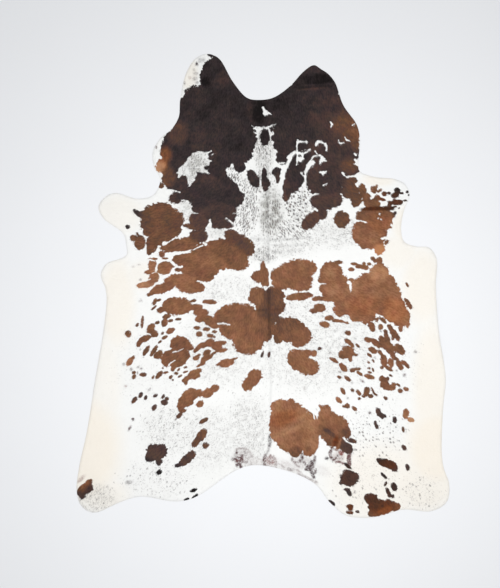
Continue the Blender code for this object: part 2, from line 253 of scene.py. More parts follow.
VEILS = table(
    Veil,
    # thin streaks on the neck
    (-22.5, 65.5, 2.8, 0.4, -12, 0.5, 0.2), (-12.6, 68.4, 0.5, 1, 0, 0.5, 0.2),
    # faint grey spots on the left flank and hind leg
    (-69.5, -39, 0.8, 0.7, 0, 0.6, 0.2), (-65.8, -41.5, 0.9, 0.8, 0, 0.6, 0.2),
    (-62.2, -40.5, 0.7, 0.6, 0, 0.6, 0.2), (-60.8, -41.2, 0.7, 0.6, 0, 0.6, 0.2),
    (-62.7, -43.5, 0.4, 1, 0, 0.6, 0.2), (-56.8, -51.8, 1.3, 0.6, 50, 0.6, 0.2),
    (-65, -66.5, 0.8, 0.7, 0, 1.3, 0.2), (-66.5, -71, 1.5, 0.6, 60, 1.3, 0.3),
    (-43.5, -66.5, 0.9, 0.5, 45, 0.7, 0.2), (-61, -7.3, 0.7, 0.6, 0, 0.6, 0.2),
    (-68.5, -50, 0.7, 0.6, 0, 0.5, 1), (-67, -98, 2, 1, 0, 0.5, 0), (-90.8, -96.3, 3, 1.1, 45, 0.38, 0.9),
    # faint grey spots on the right flank and hind leg
    (38.3, -42.7, 0.9, 0.6, 0, 0.6, 0.2), (44.4, -48.2, 0.6, 0.6, 0, 0.6, 0.2),
    (49.3, -47.3, 1, 0.6, -30, 1, 0.4), (42.3, -56, 0.6, 0.6, 0, 0.6, 0.2),
    (33.5, -33.5, 0.9, 0.6, 0, 0.6, 0.2), (55.7, -35.7, 0.6, 0.6, 0, 0.6, 0.2),
    (58.7, -22.5, 0.6, 0.6, 0, 0.6, 0.2), (66.7, -42.3, 0.6, 0.6, 0, 0.6, 0.2),
    (70.5, -44.3, 0.8, 0.7, 0, 0.6, 0.2), (76, -32.8, 0.7, 0.7, 0, 0.6, 0.2),
    (53.4, -63.3, 0.9, 0.8, 0, 0.6, 0.2), (45.8, -103, 0.7, 0.6, 0, 0.6, 0.2),
    (45.8, -81.7, 0.9, 0.6, 0, 0.5, 0), (20.8, -51, 0.9, 1.2, 0, 0.3, 0.3),
    # flecks at the left cheek's rim
    (-33.1, 111, 0.7, 0.9, 0, 1, 0), (-31.5, 112.8, 1, 1.4, 0, 0.3, 0), (-29.9, 113, 1.2, 1.1, 0, 0.3, 0),
    (-34.5, 108, 0.8, 0.8, 0, 0.3, 0), (-33.6, 106.2, 1.6, 0.8, 0, 0.35, 0),
    (-34, 103.6, 1.6, 1.2, 0, 0.35, 0), (-33, 101.7, 1.2, 0.8, 0, 0.4, 0),
    (-36.5, 104, 0.8, 0.8, 0, 0.35, 0.8), (-39.2, 101.5, 0.6, 1, 0, 0.5, 0),
    (-53.5, 69.3, 1, 0.8, -50, 0.8, 0.3),
    # beside the left back patches
    (-61.2, 3.2, 0.8, 0.7, 0, 0.45, 0.3), (-62, 10.7, 0.7, 0.5, 0, 0.35, 0.3),
    (-65, 9.6, 0.7, 0.5, 0, 0.3, 0.3),
    # round the tail root and on the right thigh
    (-11.8, -86.8, 2.8, 2, 0, 0.9, 0.45), (3.8, -87.2, 3.2, 2.8, 0, 0.62, 0.95),
    (39, -83, 1.5, 1.9, 0, 1.3, 1), (37.6, -84.8, 0.8, 0.8, 0, 0.8, 0), (20, -88, 7, 4, -10, 0.25, 0.5),
    (-10, -85, 5.5, 4.5, 0, 0.28, 0.5), (37.5, -85.5, 3.4, 3, 0, 0.35, 0.8),
    (24, -90, 1.7, 2.4, 15, 0.9, 0.2), (36.5, -81.3, 1.6, 0.7, 10, 0.7, 0.8), (-1, -88, 12, 3, 0, 0.2, 0.6),
    (29, -92, 5, 3, -25, 0.1, 0.5), (12, -90, 8, 3, -15, 0.2, 0.6), (-13.2, -83, 0.8, 1.1, 0, 0.9, 0.2),
    (31.8, -86, 1.2, 0.8, 0, 0.95, 0), (22, -86.6, 1.6, 1.4, 0, 0.2, 0.3),
)

RUSTS = table(
    Rust,
    (56, 38.6, 10.5, 1.1, 0, 1), (66, 43.5, 6, 6, 0, 0.8), (60, 44.5, 3, 2.5, 0, 0.7),
    (36.2, -77.4, 1.5, 3, -14, 1), (62, -89, 6, 3, -12, 1), (58, -109, 10, 6, -15, 0.85),
    (-88, -101, 5, 5, 0, 0.3), (43, -96, 5, 5, 0, 0.45), (62, -100, 5, 6, 0, 0.6),
    (43.5, -111, 3, 3.5, 0, 0.9), (42.6, -90, 2, 2, 0, 0.6), (-49, 66, 4, 6, 0, 0.35),
    (10, -66, 9, 4, 20, 0.45), (66, -12, 8, 7, -40, 0.4), (50, -10, 9, 6, 0, 0.3), (58, 18, 4, 4, 0, 0.35),
    (58, 32, 6, 6, 0, 0.25), (-6.4, 88, 2, 5, 0, 0.2),
)

WISPS = table(
    Wisp,
    # the whorl left of the tail root
    (0.4, 0.4, 0.4, ((-13.3, -81.6), (-12, -81), (-9.5, -81.2), (-7.4, -81.9), (-6.1, -83.5),
        (-5.5, -85.2))),
    (0.55, 0.9, 0.2, ((-15.2, -86.6), (-13.4, -85.8), (-11, -86))),
    (0.6, 0.85, 0.3, ((-10.6, -84.6), (-10.8, -87.2))),
    (0.6, 0.9, 0.2, ((-13, -89.4), (-11.6, -88.6), (-11, -90.4))),
    (0.5, 0.75, 0.3, ((-10.6, -87.6), (-8.2, -88))), (0.35, 0.4, 0.4, ((-10.2, -84.6), (-8.6, -83.2))),
    (0.35, 0.35, 0.4, ((-6.2, -87.6), (-5.8, -90))),
    # the tail root
    (0.6, 0.85, 0.25, ((1.2, -84.6), (0.5, -86.6), (0.9, -89.8))),
    (0.6, 0.7, 0, ((3.4, -75), (3.4, -77.6), (3.1, -79.6))),
    (0.45, 0.35, 0.1, ((3.1, -79.6), (2.6, -82), (1.4, -84.4))),
    (0.5, 0.7, 0.5, ((3.6, -84.6), (3.2, -86.4), (3.6, -88))),
    (0.5, 0.6, 0.4, ((5.2, -85.2), (6.3, -87.4), (6.4, -90))),
    (0.4, 0.5, 0.4, ((1.5, -90), (4, -90.4), (6.6, -91))),
    # under the tan patch
    (0.5, 0.6, 0.4, ((14.3, -86), (14.9, -87.4), (16.4, -88.2), (17.8, -87.9))),
    (0.6, 0.85, 0.2, ((19.3, -83.8), (19.6, -86.2), (18.6, -87.4))),
    (0.4, 0.5, 0.5, ((16, -88.8), (18, -90.2))), (0.9, 1, 0.1, ((24.6, -88), (23.8, -89.8), (22.4, -90.2))),
    (0.5, 0.8, 0.2, ((26, -85.4), (25.6, -87.6))),
    (0.6, 0.95, 0.1, ((21.4, -91.5), (23.4, -91.4), (24.4, -93.2), (25.2, -95.4))),
    (0.45, 0.7, 0.2, ((26.4, -91.4), (26, -93.4))), (0.5, 0.7, 0.2, ((20.2, -87.6), (21.6, -89.6))),
    (0.6, 0.45, 0.4, ((17.5, -93.6), (22, -96), (26.6, -98))),
    (0.6, 0.6, 0.3, ((12.6, -91.4), (14.8, -91.8))), (0.5, 0.4, 0.5, ((16.5, -91.5), (19, -93.5))),
    (0.4, 0.4, 0.4, ((8, -88.6), (10.5, -90.6))),
    # the right thigh
    (0.5, 0.95, 0.3, ((34.6, -81), (33.3, -83.4), (33.8, -85.4), (35, -86.8), (36.4, -86.1))),
    (0.5, 0.8, 0.6, ((36.5, -87.9), (38.4, -87.6))), (0.4, 0.8, 0.6, ((38.4, -88), (40.6, -88.7))),
    (0.5, 0.6, 0.4, ((38.3, -85.8), (39.3, -86.4))),
    (0.7, 1.4, 0.45, ((43.2, -83), (42.7, -86), (43, -89))),
    (0.5, 0.7, 0.5, ((36.4, -81.8), (38.6, -81.4))),
)

# Each crease lowers the skin a little and paints shade into the coat's colour along it
CREASES = table(
    Crease,
    (0.5, 0.45, ((2.4, 60), (2.2, 40), (2.6, 22), (2.8, 12))),
    (0.6, 0.9, ((2.8, -2), (3, -14), (3.2, -24))),
    (0.4, 0.22, ((3.2, -24), (4, -50), (3.4, -66), (3.4, -74))),
    (0.4, 0.4, ((-6, 24), (2, 23), (14, 23.4), (24, 24.4))),
    (0.5, 0.7, ((-3, -12), (3, -12.2), (11, -11.4))), (0.4, 0.35, ((-24, -13), (-12, -12.6), (-3, -12))),
    (0.7, 1, ((49, 38.2), (56, 38.8), (65, 38.6))), (0.5, 0.8, ((18, 98.6), (24, 99.4), (34, 99.8))),
    (0.5, 0.4, ((5, -75), (12, -72), (20, -67))), (0.5, 0.35, ((5, -68), (12, -66.5), (18, -63))),
    (0.5, 0.3, ((-16, 84), (-15.5, 90), (-17, 96))), (0.35, 0.3, ((4, 20.5), (12, 20), (20, 21))),
    (0.35, 0.3, ((4, 17.5), (12, 17.2), (18, 18.2))),
)

# Patches of the coat, from the neck to the hind legs
PATCHES = {
    "neck and cheeks": (
        (-19.5, 103.5, 12.5, 12, 90, 1.05), (-30, 82, 17, 15, 90, 1), (-4, 91.5, 26, 11.5, 0, 1.05),
        (-15, 71, 12, 10.8, 90, 1), (-21, 80, 14, 9, 0, 1), (17, 78.5, 12, 11.5, 0, 1),
        (13, 71.5, 8, 6.5, 0, 1), (26, 98, 13, 12, 90, 1), (33, 84, 13, 13, 90, 0.9),
        (36, 69, 12.5, 12.5, 0, 0.9), (1, 74.3, 4.3, 2.3, 90, 1.1), (3.9, 78.2, 1.4, 1.3, 0, 1),
        (28.2, 69, 2, 2, 0, 1), (20, 64, 6, 3.5, 20, 1), (16.5, 59.5, 5, 3.5, 0, 1),
        (-34.5, 96, 5, 4, 20, 1), (-11.5, 59.6, 2.8, 3, 0, 1), (-27.5, 105, 4, 4.6, 0, 1.05),
        (-26, 115.1, 1.9, 0.6, -20, 1.1), (-29, 99.5, 3, 2, 0, 1), (-7, 75.5, 3.6, 4.5, 0, 1.05),
        (-8.5, 66, 3.3, 2.8, 0, 1), (9.5, 64.5, 3.4, 4, 0, 1), (4.5, 82, 4, 1.9, 0, 1.05),
        (-1, 81, 5.2, 1.7, 0, 1.05), (44, 77, 4.6, 8, 0, 0.5), (-6, 73.5, 3.2, 2.5, 0, 1.05),
        (7.6, 74, 3.5, 2.2, 0, 1),
    ),
    "left shoulder": (
        (-38.5, 67, 14, 12.5, 90, 1), (-48.5, 60, 5.3, 4, 0, 0.85), (-40, 55, 10.5, 9, 0, 0.95),
        (-50.8, 50.2, 1.6, 1.3, 0, 0.65), (-31, 41, 5, 3.5, 0, 1), (-28, 57, 10, 9, 0, 1),
        (-14, 43.8, 5, 3.2, 0, 0.95), (-22, 36.5, 8.8, 8, 0, 0.9), (-43.5, 44, 3.6, 2.8, 0, 0.9),
        (-31.5, 33, 4.8, 6, 0, 0.8), (-17.2, 30.6, 2.8, 2, 0, 0.9), (-16.2, 26.6, 2.8, 1.7, 0, 0.7),
        (-36.4, 29.8, 3, 1.3, -22, 0.64), (-34.9, 33.4, 2.1, 2.4, 0, 0.7), (-32, 25, 5, 3.2, 0, 0.75),
        (-27, 50, 10, 8.5, 0, 1), (-20, 44, 11, 5.6, 0, 1), (-34, 46, 8, 4.2, 0, 0.95),
        (-16.5, 50.8, 6, 2.6, -42, 1), (-33, 39, 2.6, 2.6, 0, 0.95),
    ),
    "left foreleg": (
        (-51, 32, 10, 9.5, 0, 0.62), (-51.5, 37.2, 8, 4.3, 0, 0.58), (-57, 31.5, 4.2, 5.6, 0, 0.62),
        (-45, 33.8, 6, 4.6, -20, 0.6), (-50, 26, 8, 4, 0, 0.6), (-62.3, 36.2, 3, 1.2, -35, 1),
        (-59.8, 36, 2.6, 1.8, 15, 0.64), (-44.5, 28, 3.8, 3.4, 0, 0.62), (-58.2, 27, 1.8, 2.2, 0, 0.62),
        (-67.5, 29.5, 0.95, 0.9, 0, 1), (-64.6, 24, 1.7, 1.5, 0, 0.55), (-61.4, 21.6, 3.7, 2.8, 80, 0.55),
        (-61.8, 25.3, 2, 0.6, -42, 0.8), (-55.6, 21, 4.6, 2.8, 90, 0.6), (-57, 17, 1.3, 1.4, 0, 0.64),
        (-52.5, 22, 2.4, 2, 0, 0.6),
    ),
    "left back": (
        (-40, 20.8, 8.5, 3.4, 8, 0.51), (-47.5, 18.6, 4, 2, 0, 0.51), (-50.4, 16, 1.7, 1.5, 90, 0.46),
        (-48.9, 13.8, 1.4, 0.4, 0, 0.5), (-37.5, 13.2, 8, 3.6, 0, 0.48), (-35, 7.8, 6, 3.2, 0, 0.45),
        (-42.3, 8, 1.6, 0.9, 0, 0.54), (-40.5, 3.2, 8.7, 3.2, 5, 0.36), (-46, 1.5, 3.6, 2.6, 38, 0.42),
        (-49.3, 8.9, 4.2, 3.2, 20, 0.32), (-45.4, 9.7, 1.1, 0.5, 0, 0.45), (-55.2, 10.2, 3.6, 2, 90, 0.3),
        (-55, 13.6, 2.3, 0.5, 0, 0.45), (-57, 7, 2, 0.9, 5, 0.3), (-54.4, 4, 3.1, 2.3, 45, 0.32),
        (-60, 0.5, 3.1, 1.4, 12, 0.12), (-57, 1, 2.6, 1.7, 20, 0.18), (-13, 21.3, 9.8, 5.4, -25, 0.66),
        (-22, 15.5, 14.5, 7.5, 0, 0.48), (-28.5, 9.5, 7, 6, 0, 0.48), (-29, 4.3, 4.6, 2.2, 0, 0.48),
        (-13, 11.5, 6, 3.8, 0, 0.48),
    ),
    "back, between the shoulders": (
        (-4.8, 53.7, 5, 2.5, -62, 1), (0.6, 55.8, 3.3, 1.3, 90, 1), (1.2, 51.6, 2.6, 2.3, 90, 1),
        (1.2, 49, 1.8, 1.2, 90, 0.9), (6.8, 57.1, 2.5, 2.2, 30, 1), (7.3, 53.7, 2.3, 1, 90, 0.9),
        (15.8, 54.5, 5.5, 5, 90, 1), (12, 48.5, 5, 2.2, 95, 0.9), (15.4, 50, 4.6, 3, 35, 0.92),
        (11.3, 44.3, 2, 1.5, 90, 0.8), (24, 32.8, 5.9, 3.3, 42, 0.72), (29.5, 36, 2.5, 3, 0, 0.85),
        (46.5, 42.5, 2.6, 4, 0, 0.7),
    ),
    "right shoulder": (
        (30.5, 53, 9.3, 9, 0, 0.95), (30.5, 42.5, 6.8, 5, 0, 0.84), (36, 43.5, 3.8, 4.2, 0, 0.8),
        (38, 57, 6, 6, 0, 0.9), (40.6, 51.4, 2, 1.8, 0, 0.85), (43.5, 58.2, 4.8, 2.8, 0, 0.8),
        (44, 52.5, 3, 2.3, 0, 0.75), (39.3, 33.3, 4.4, 4, 90, 0.64), (43, 47.5, 5, 3.8, 0, 0.75),
    ),
    "right foreleg": (
        (49.5, 47.5, 3.6, 2.1, 90, 0.52), (51.5, 43.9, 2.6, 2.2, 65, 0.5), (55.3, 48.1, 1.9, 1.5, 90, 0.5),
        (56.6, 49.8, 0.9, 0.5, 70, 0.52), (58.3, 47.7, 1.3, 0.5, 35, 0.6), (60.6, 46.1, 1.4, 1.1, 0, 0.8),
        (62.9, 46.4, 0.6, 0.5, 0, 1.1), (57, 43.9, 1.6, 1.4, 90, 0.55), (59.6, 43.2, 1.7, 0.7, -18, 0.68),
        (54.4, 41, 4.2, 2.3, 0, 0.5), (55.5, 35, 10, 3.8, 0, 0.46), (53, 26.5, 8.8, 8, 0, 0.4),
        (60.5, 32, 4, 4.5, 0, 0.36), (50.5, 22.5, 6, 3.3, -30, 0.42), (58, 19, 2.8, 3.5, 0, 0.1),
        (61.6, 21.8, 1.4, 0.7, 50, 0.5), (67, 47.2, 1.9, 1.5, 90, 1), (69, 46.4, 1.1, 0.4, 0, 1),
        (65.9, 45.3, 2, 1.3, 10, 0.9), (66.9, 41.8, 2.9, 1.4, 0, 0.82), (65.5, 42.9, 0.5, 0.8, 0, 0.85),
        (63.3, 40.7, 1.5, 0.9, 50, 0.8), (62.9, 42.1, 0.7, 0.3, 0, 0.9), (72, 47, 0.6, 0.5, 0, 1),
        (72.7, 45.4, 0.3, 0.2, 90, 1), (71, 42.7, 0.8, 0.25, 0, 0.9), (65.8, 39.5, 0.7, 0.2, 0, 0.9),
        (67.8, 38.8, 0.35, 0.2, 30, 0.9), (65.9, 36.3, 0.8, 0.5, 70, 0.9), (57, 38.4, 8.2, 1.3, 0, 0.66),
        (62, 39, 3, 0.9, 0, 0.72),
    ),
    "right side": (
        (37.5, 11.8, 2.3, 0.9, 0, 0.46), (34, 6.5, 6, 5.3, 10, 0.4), (33.5, 10.5, 3, 1.8, 0, 0.43),
        (30, 2.8, 2.4, 1.8, 0, 0.46), (40.7, 0.5, 1.8, 1.4, 0, 0.35), (37.5, 3, 5, 3.2, 0, 0.35),
        (44, 8.3, 1.5, 0.9, 0, 0.46), (45.5, 11, 1.6, 0.7, 0, 0.46), (48, 9.8, 2, 1, 0, 0.46),
        (51, 9.2, 1.8, 1.1, 0, 0.46), (50.3, 11, 0.8, 0.7, 0, 0.46), (53, 11, 0.8, 0.6, 0, 0.46),
        (44, 3, 1.5, 0.8, 0, 0.4), (54.8, 13.6, 1.1, 0.8, -30, 0.52), (58, 12.5, 1.8, 1.6, 90, 0.43),
        (58, 4.5, 6.8, 5.2, 90, 0.3), (53, 3, 7.5, 4, 15, 0.35), (48, 0.5, 3.5, 2.2, 0, 0.35),
        (61.5, -1, 5.4, 7, 0, 0.34), (35, -2.5, 7.2, 4.8, -20, 0.4), (41.5, -6.5, 8, 5.8, -25, 0.32),
        (50, -4.5, 9.5, 8, 0, 0.32), (58.5, -5, 10.5, 9.3, 0, 0.36), (64.5, -10.5, 9, 6.5, -55, 0.28),
        (47, -12.5, 5.5, 5.3, 0, 0.33), (51.2, -13.8, 5.6, 4.8, 0, 0.33), (39, -11.5, 4, 3.8, 0, 0.36),
        (69, -15.5, 5, 4.5, 90, 0.3), (69, -20, 2.8, 1.2, 80, 0.43), (72.2, -18, 3.2, 1.1, 90, 0.35),
        (54.2, -20.1, 2.9, 1.5, 110, 0.46), (72.7, -9, 2.8, 1.1, -60, 0.52),
        (71.2, -6.9, 0.8, 0.5, -45, 0.58), (72, 0.6, 1.1, 0.4, -60, 0.58), (56.2, 12.4, 1, 0.8, 0, 0.46),
        (31.5, -6.5, 3, 1.2, -10, 0.4),
    ),
    "loin, left": (
        (-50.5, -1.2, 5.6, 2.6, 18, 0.4), (-55, -2.8, 2.3, 1.3, 40, 0.54), (-57.2, -4.4, 0.7, 0.6, 0, 0.58),
        (-36.5, -0.3, 7, 3.3, 0, 0.42), (-31.8, -0.8, 2.6, 2.2, 0, 0.42), (-42.8, -10, 7.6, 4.6, 0, 0.42),
        (-51, -12, 1.9, 1.4, 30, 0.49), (-34.7, -7.3, 1.3, 0.6, 10, 0.54), (-54, -7.8, 1.8, 0.9, 70, 0.56),
        (-52, -7.1, 1.1, 0.4, 20, 0.58), (-54.5, -10.9, 1.7, 0.4, 42, 0.58), (-48, -15.2, 2.2, 1, 15, 0.54),
        (-49.1, -18.3, 2.2, 1.5, 65, 0.49), (-46.1, -17.3, 1.1, 0.6, 20, 0.56),
        (-42.3, -16.6, 1.5, 0.5, 8, 0.56), (-46.2, -22.3, 2.3, 1.3, 30, 0.49),
        (-52.8, -18.3, 1.1, 0.6, 20, 0.62), (-60.3, -18, 3.1, 0.7, 85, 0.56),
        (-62.8, -19.4, 0.9, 0.5, 60, 0.6), (-67.4, -24, 1.7, 1.5, 90, 0.54),
        (-56, -21.2, 2.8, 1.7, 55, 0.49), (-54.2, -23.9, 1.9, 1.7, 0, 0.49),
        (-59, -26.2, 3.1, 1.5, 20, 0.51), (-61.7, -28.4, 2.2, 1.2, 60, 0.54),
        (-50.2, -23.6, 0.6, 0.4, 60, 0.6), (-49.1, -25.7, 1.5, 0.7, 28, 0.54),
        (-51.5, -27.9, 0.9, 0.3, 40, 0.6), (-58.3, -32.2, 2.9, 1.1, 58, 0.56),
        (-54.5, -32.4, 3.2, 1, 57, 0.56), (-52.3, -34.2, 2.7, 1.6, 45, 0.54),
        (-41.3, -28.8, 5.2, 3.9, 0, 0.49), (-37.3, -30.5, 2.6, 1.8, 0, 0.49),
        (-45.5, -34.8, 5.6, 3.2, 20, 0.48), (-40, -34.6, 3.4, 3.4, 0, 0.48),
        (-42.4, -38.2, 4.2, 2.3, 15, 0.47), (-48.2, -37.9, 2.6, 2.4, 0, 0.49),
        (-45, -41.1, 1.4, 1.1, 90, 0.49), (-66.6, -37.8, 2.3, 1.4, 55, 0.25),
        (-65, -35.9, 1.2, 0.7, 55, 0.58), (-64.4, -43.2, 0.8, 0.6, 0, 0.6),
        (-64.4, -45.3, 1.2, 0.8, 60, 0.6), (-60, -44.3, 1.8, 0.9, 0, 0.58),
        (-54.9, -45.5, 0.8, 0.3, 55, 0.58), (-51.9, -44.4, 2.5, 1.1, 50, 0.51),
        (-48.4, -43.2, 1.3, 0.4, 12, 0.54), (-50, -40.8, 0.4, 0.3, 80, 0.6),
        (-43.3, -43.6, 0.8, 0.5, 0, 0.54), (-41.4, -45, 1.1, 0.4, 30, 0.56),
        (-42.1, -41.8, 0.6, 0.25, 50, 0.6), (-38.7, -40.5, 0.7, 0.3, 20, 0.6),
        (-46.1, -45.5, 1, 0.6, 50, 0.58), (-45, -46.9, 0.3, 0.25, 0, 0.62),
        (-34.3, -44.2, 2.9, 2.4, 10, 0.35), (-32.3, -42.2, 1.7, 1, 15, 0.35),
        (-38.8, -42.9, 1.2, 0.3, 15, 0.45), (-38, -46.2, 2.8, 1.2, 30, 0.4),
        (-38.5, -48.3, 1.1, 0.7, 80, 0.54), (-36.3, -54.2, 4, 3.1, 10, 0.42),
        (-39, -57.6, 3.8, 2.8, 25, 0.42), (-41, -60.2, 1.9, 2.4, 0, 0.47), (-40.2, -62.2, 1.8, 1, 0, 0.54),
        (-36.8, -57.6, 2.4, 1.8, 40, 0.42), (-32.4, -53.6, 2.6, 2, 0, 0.42),
        (-27.6, -53.4, 2.9, 2.3, 25, 0.34), (-24.4, -51.2, 2.6, 1.8, 30, 0.34),
    ),
    "loin, right of the left patches": (
        (-33, -20.9, 1.6, 0.9, 0, 0.56), (-31.9, -23.9, 1.6, 1.3, -10, 0.51),
        (-26.5, -8, 3.6, 1.2, -3, 0.42), (-32.8, -10.2, 3, 1.3, 0, 0.4), (-35.2, -11.3, 1.8, 0.8, 20, 0.4),
        (-31, -13.2, 3.8, 2, 0, 0.42), (-31.3, -16.3, 2.6, 1.9, 0, 0.45),
        (-27.3, -16.8, 3.6, 2.2, -20, 0.42), (-23.8, -19, 3.4, 2.3, 0, 0.42),
        (-27.5, -18.8, 1.4, 0.6, 0, 0.49), (-28.1, -21.6, 1.8, 0.9, 0, 0.54),
        (-24.2, -22.8, 1.2, 0.6, 0, 0.62), (-26.3, -24.8, 1.5, 0.9, 0, 0.54),
        (-24.4, -25.4, 0.6, 0.4, 0, 0.62), (-33, -31.6, 2.2, 1, 40, 0.51), (-30, -29.6, 2.8, 1.4, 15, 0.47),
        (-26.6, -28.4, 2.4, 1.9, 15, 0.45), (-21.3, -28.4, 3.3, 1.1, 5, 0.45),
        (-23, -30.3, 2.8, 1.8, 0, 0.45), (-20.8, -32.1, 3, 1.1, 8, 0.45), (-24.4, -33.4, 1, 0.4, 20, 0.62),
        (-28, -33.2, 2.2, 1.2, 35, 0.49), (-27.8, -35.6, 3.1, 1.4, 25, 0.45),
        (-29.9, -37.6, 1.7, 1.3, 70, 0.47), (-31.3, -39.5, 1.9, 0.6, 25, 0.51),
        (-33.4, -36, 1.5, 1.1, 20, 0.45), (-31.9, -34.3, 0.8, 0.25, 15, 0.56),
        (-18.4, -38.4, 3.9, 2.1, 12, 0.3), (-14.4, -36.4, 1.9, 0.4, 20, 0.49),
        (-21.9, -39.1, 1.5, 0.5, 10, 0.45), (-4.4, -45.6, 4.6, 3.4, 60, 0.37),
        (-7, -48.6, 4.2, 3.2, 50, 0.42),
    ),
    "backbone": (
        (0, 9, 3.3, 1.3, 90, 0.45), (-1.2, 4.6, 4.6, 2.9, -10, 0.45), (1, 2.5, 3.5, 2.2, 90, 0.5),
        (17.5, 8.3, 9.5, 5.2, 5, 0.38), (8.5, 6, 5.2, 3.8, 25, 0.44), (16, 2.5, 9, 4.2, 0, 0.42),
        (9, 0.8, 5, 2.2, -12, 0.36), (19, -0.2, 5.2, 2.3, 0, 0.36), (18, -5.2, 7, 2, 6, 0.42),
        (27.3, -6.3, 2.8, 1.2, 5, 0.5), (28.3, -10.8, 2.8, 2.2, -15, 0.42), (25.8, -12.2, 2.8, 1.3, 5, 0.5),
        (-2.8, -5, 4.6, 4.6, 0, 0.48), (5.8, -5.2, 5, 5.2, 0, 0.55), (8, -10, 3.2, 3.6, 0, 0.6),
        (1.5, -11, 5.5, 4.5, 0, 0.62), (-13, -13.3, 9.5, 5, 3, 0.45), (-12.5, -22, 9.3, 5.2, 0, 0.42),
        (-7.5, -27, 8, 7.2, 0, 0.45), (0, -20.5, 6.5, 7.5, 0, 0.5), (2.5, -14.5, 6, 5.5, 0, 0.65),
        (13, -21.8, 8.6, 6.2, -8, 0.54), (18.3, -24.5, 5.8, 5.2, -20, 0.45), (7.5, -24, 3, 4.8, 0, 0.6),
        (17.8, -28.3, 3.6, 2.3, 0, 0.45), (-0.3, -34, 1.8, 0.5, 68, 0.85), (3, -34.2, 1.4, 0.6, 80, 0.85),
        (28.3, -31.2, 0.8, 0.6, 0, 0.82), (18, -37.5, 6.8, 4.9, -42, 0.42),
        (22.5, -40.2, 5.4, 4.4, -15, 0.35), (21, -33.5, 4.2, 1.7, 0, 0.4), (25.5, -33.7, 1.4, 1.5, 0, 0.38),
        (1.4, 5, 4.2, 1.5, 90, 0.45), (-20, -15, 4.8, 3.6, 0, 0.45), (-6, -15.2, 4.5, 4.5, 0, 0.47),
        (-22, -17.5, 3, 2.5, 0, 0.45),
    ),
    "right flank spots": (
        (33, -16, 2.2, 1.4, 0, 0.45), (37.5, -17.4, 3.2, 0.9, -5, 0.45), (41.5, -18.2, 1.3, 0.6, -20, 0.54),
        (30.8, -19.2, 2.7, 1.5, -15, 0.45), (42.4, -23.5, 1.5, 1.1, -20, 0.54),
        (42.5, -27.8, 2.2, 1.1, -35, 0.49), (44.4, -29.6, 1.3, 0.9, -60, 0.49),
        (42.2, -33, 3.2, 3.2, 0, 0.45), (39.6, -34.2, 2.3, 2, -50, 0.47), (43.6, -36.3, 1.5, 0.8, 90, 0.49),
        (46, -34.3, 1.2, 0.5, 0, 0.54), (47.2, -29.8, 1.2, 0.5, -45, 0.58),
        (35.4, -37, 2.4, 0.9, -30, 0.49), (40, -40.6, 2.7, 1.4, -50, 0.45), (38, -45.5, 1, 0.5, -20, 0.6),
        (42.2, -46.2, 1.9, 0.9, -35, 0.49), (44.8, -42, 1.3, 1, 0, 0.49), (47, -41.4, 1.8, 0.7, 0, 0.47),
        (48.2, -43.7, 1.8, 0.7, -35, 0.51), (53, -45.3, 2.7, 1.1, -15, 0.45),
        (52.9, -41.1, 0.6, 0.3, 0, 0.6), (54.9, -41.9, 0.8, 0.3, -70, 0.58),
        (53.2, -43.1, 0.8, 0.3, -15, 0.62), (52.7, -38.1, 0.7, 0.4, -40, 0.6),
        (55.1, -37.4, 0.7, 0.25, -60, 0.64), (54.8, -32.1, 2.4, 1.3, -30, 0.49),
        (53.2, -34.5, 1.3, 0.6, -40, 0.56), (52.3, -26.8, 1.7, 1.3, -30, 0.49),
        (56, -28.2, 3.2, 1.4, -40, 0.49), (57.8, -30, 1.1, 0.8, 0, 0.49), (59, -26.5, 2, 1.2, -80, 0.49),
        (61.8, -26, 2.9, 1.3, -70, 0.51), (60.2, -27, 1.7, 1.4, 0, 0.42), (61.2, -29.5, 3.3, 1.6, 0, 0.49),
        (63.2, -31.8, 3.2, 1.7, -60, 0.49), (64.8, -34.6, 2, 1.2, -75, 0.49),
        (68.3, -31.6, 3.4, 1.9, -48, 0.49), (63.4, -20.6, 1.6, 1.1, -45, 0.54),
        (65.3, -23.6, 3, 1.6, -52, 0.51), (67.4, -26.2, 1.6, 0.9, -75, 0.51),
        (65.8, -31.1, 2.3, 1.5, -30, 0.49), (60.8, -31, 0.9, 0.5, -30, 0.58), (64.8, -26, 1, 0.6, 90, 0.54),
        (58.7, -20.4, 1.4, 1.1, 90, 0.51), (59.9, -17.1, 2, 0.9, -40, 0.62),
        (57, -16.8, 1.2, 0.7, 80, 0.49), (61.2, -22.6, 0.9, 0.6, -30, 0.58),
        (58.6, -33.4, 1.8, 0.8, -50, 0.51), (60.3, -37.2, 3, 1.6, -80, 0.47),
        (62.6, -41, 2.4, 0.9, -35, 0.51), (63.8, -38.4, 2.4, 1.4, -80, 0.45),
        (59.3, -40.7, 0.8, 0.6, 0, 0.58), (66.6, -36.4, 1.3, 0.8, -40, 0.54),
        (68, -39, 2.1, 1.3, -60, 0.49), (70, -38.2, 1.4, 1, 0, 0.49), (71.7, -39.5, 2, 0.8, -50, 0.51),
        (69, -41, 1, 0.9, 0, 0.54), (63.8, -44.7, 0.7, 0.3, -25, 0.66), (59.7, -46.6, 1.7, 1.7, 0, 0.51),
        (62.1, -46.5, 0.8, 0.9, 0, 0.56), (60.6, -49, 2.3, 2, 0, 0.49), (63, -50.7, 3.3, 1.5, -5, 0.49),
        (65.2, -49.6, 1.1, 1.4, 0, 0.49), (67.6, -49.4, 0.9, 0.4, -45, 0.62),
        (68.5, -52.4, 1, 0.9, 0, 0.56), (71.4, -51.4, 1.4, 0.9, -15, 0.45),
        (61.2, -55.9, 0.9, 0.7, -30, 0.62), (52, -51.7, 1.3, 1.1, 0, 0.54),
        (51.7, -53.3, 1.4, 1.6, 0, 0.45), (53.8, -55, 1, 0.9, 0, 0.56), (50.3, -54.9, 0.8, 0.6, 0, 0.58),
        (54.8, -52.2, 1.7, 0.4, -65, 0.6), (56.2, -54.1, 0.9, 0.3, -30, 0.54),
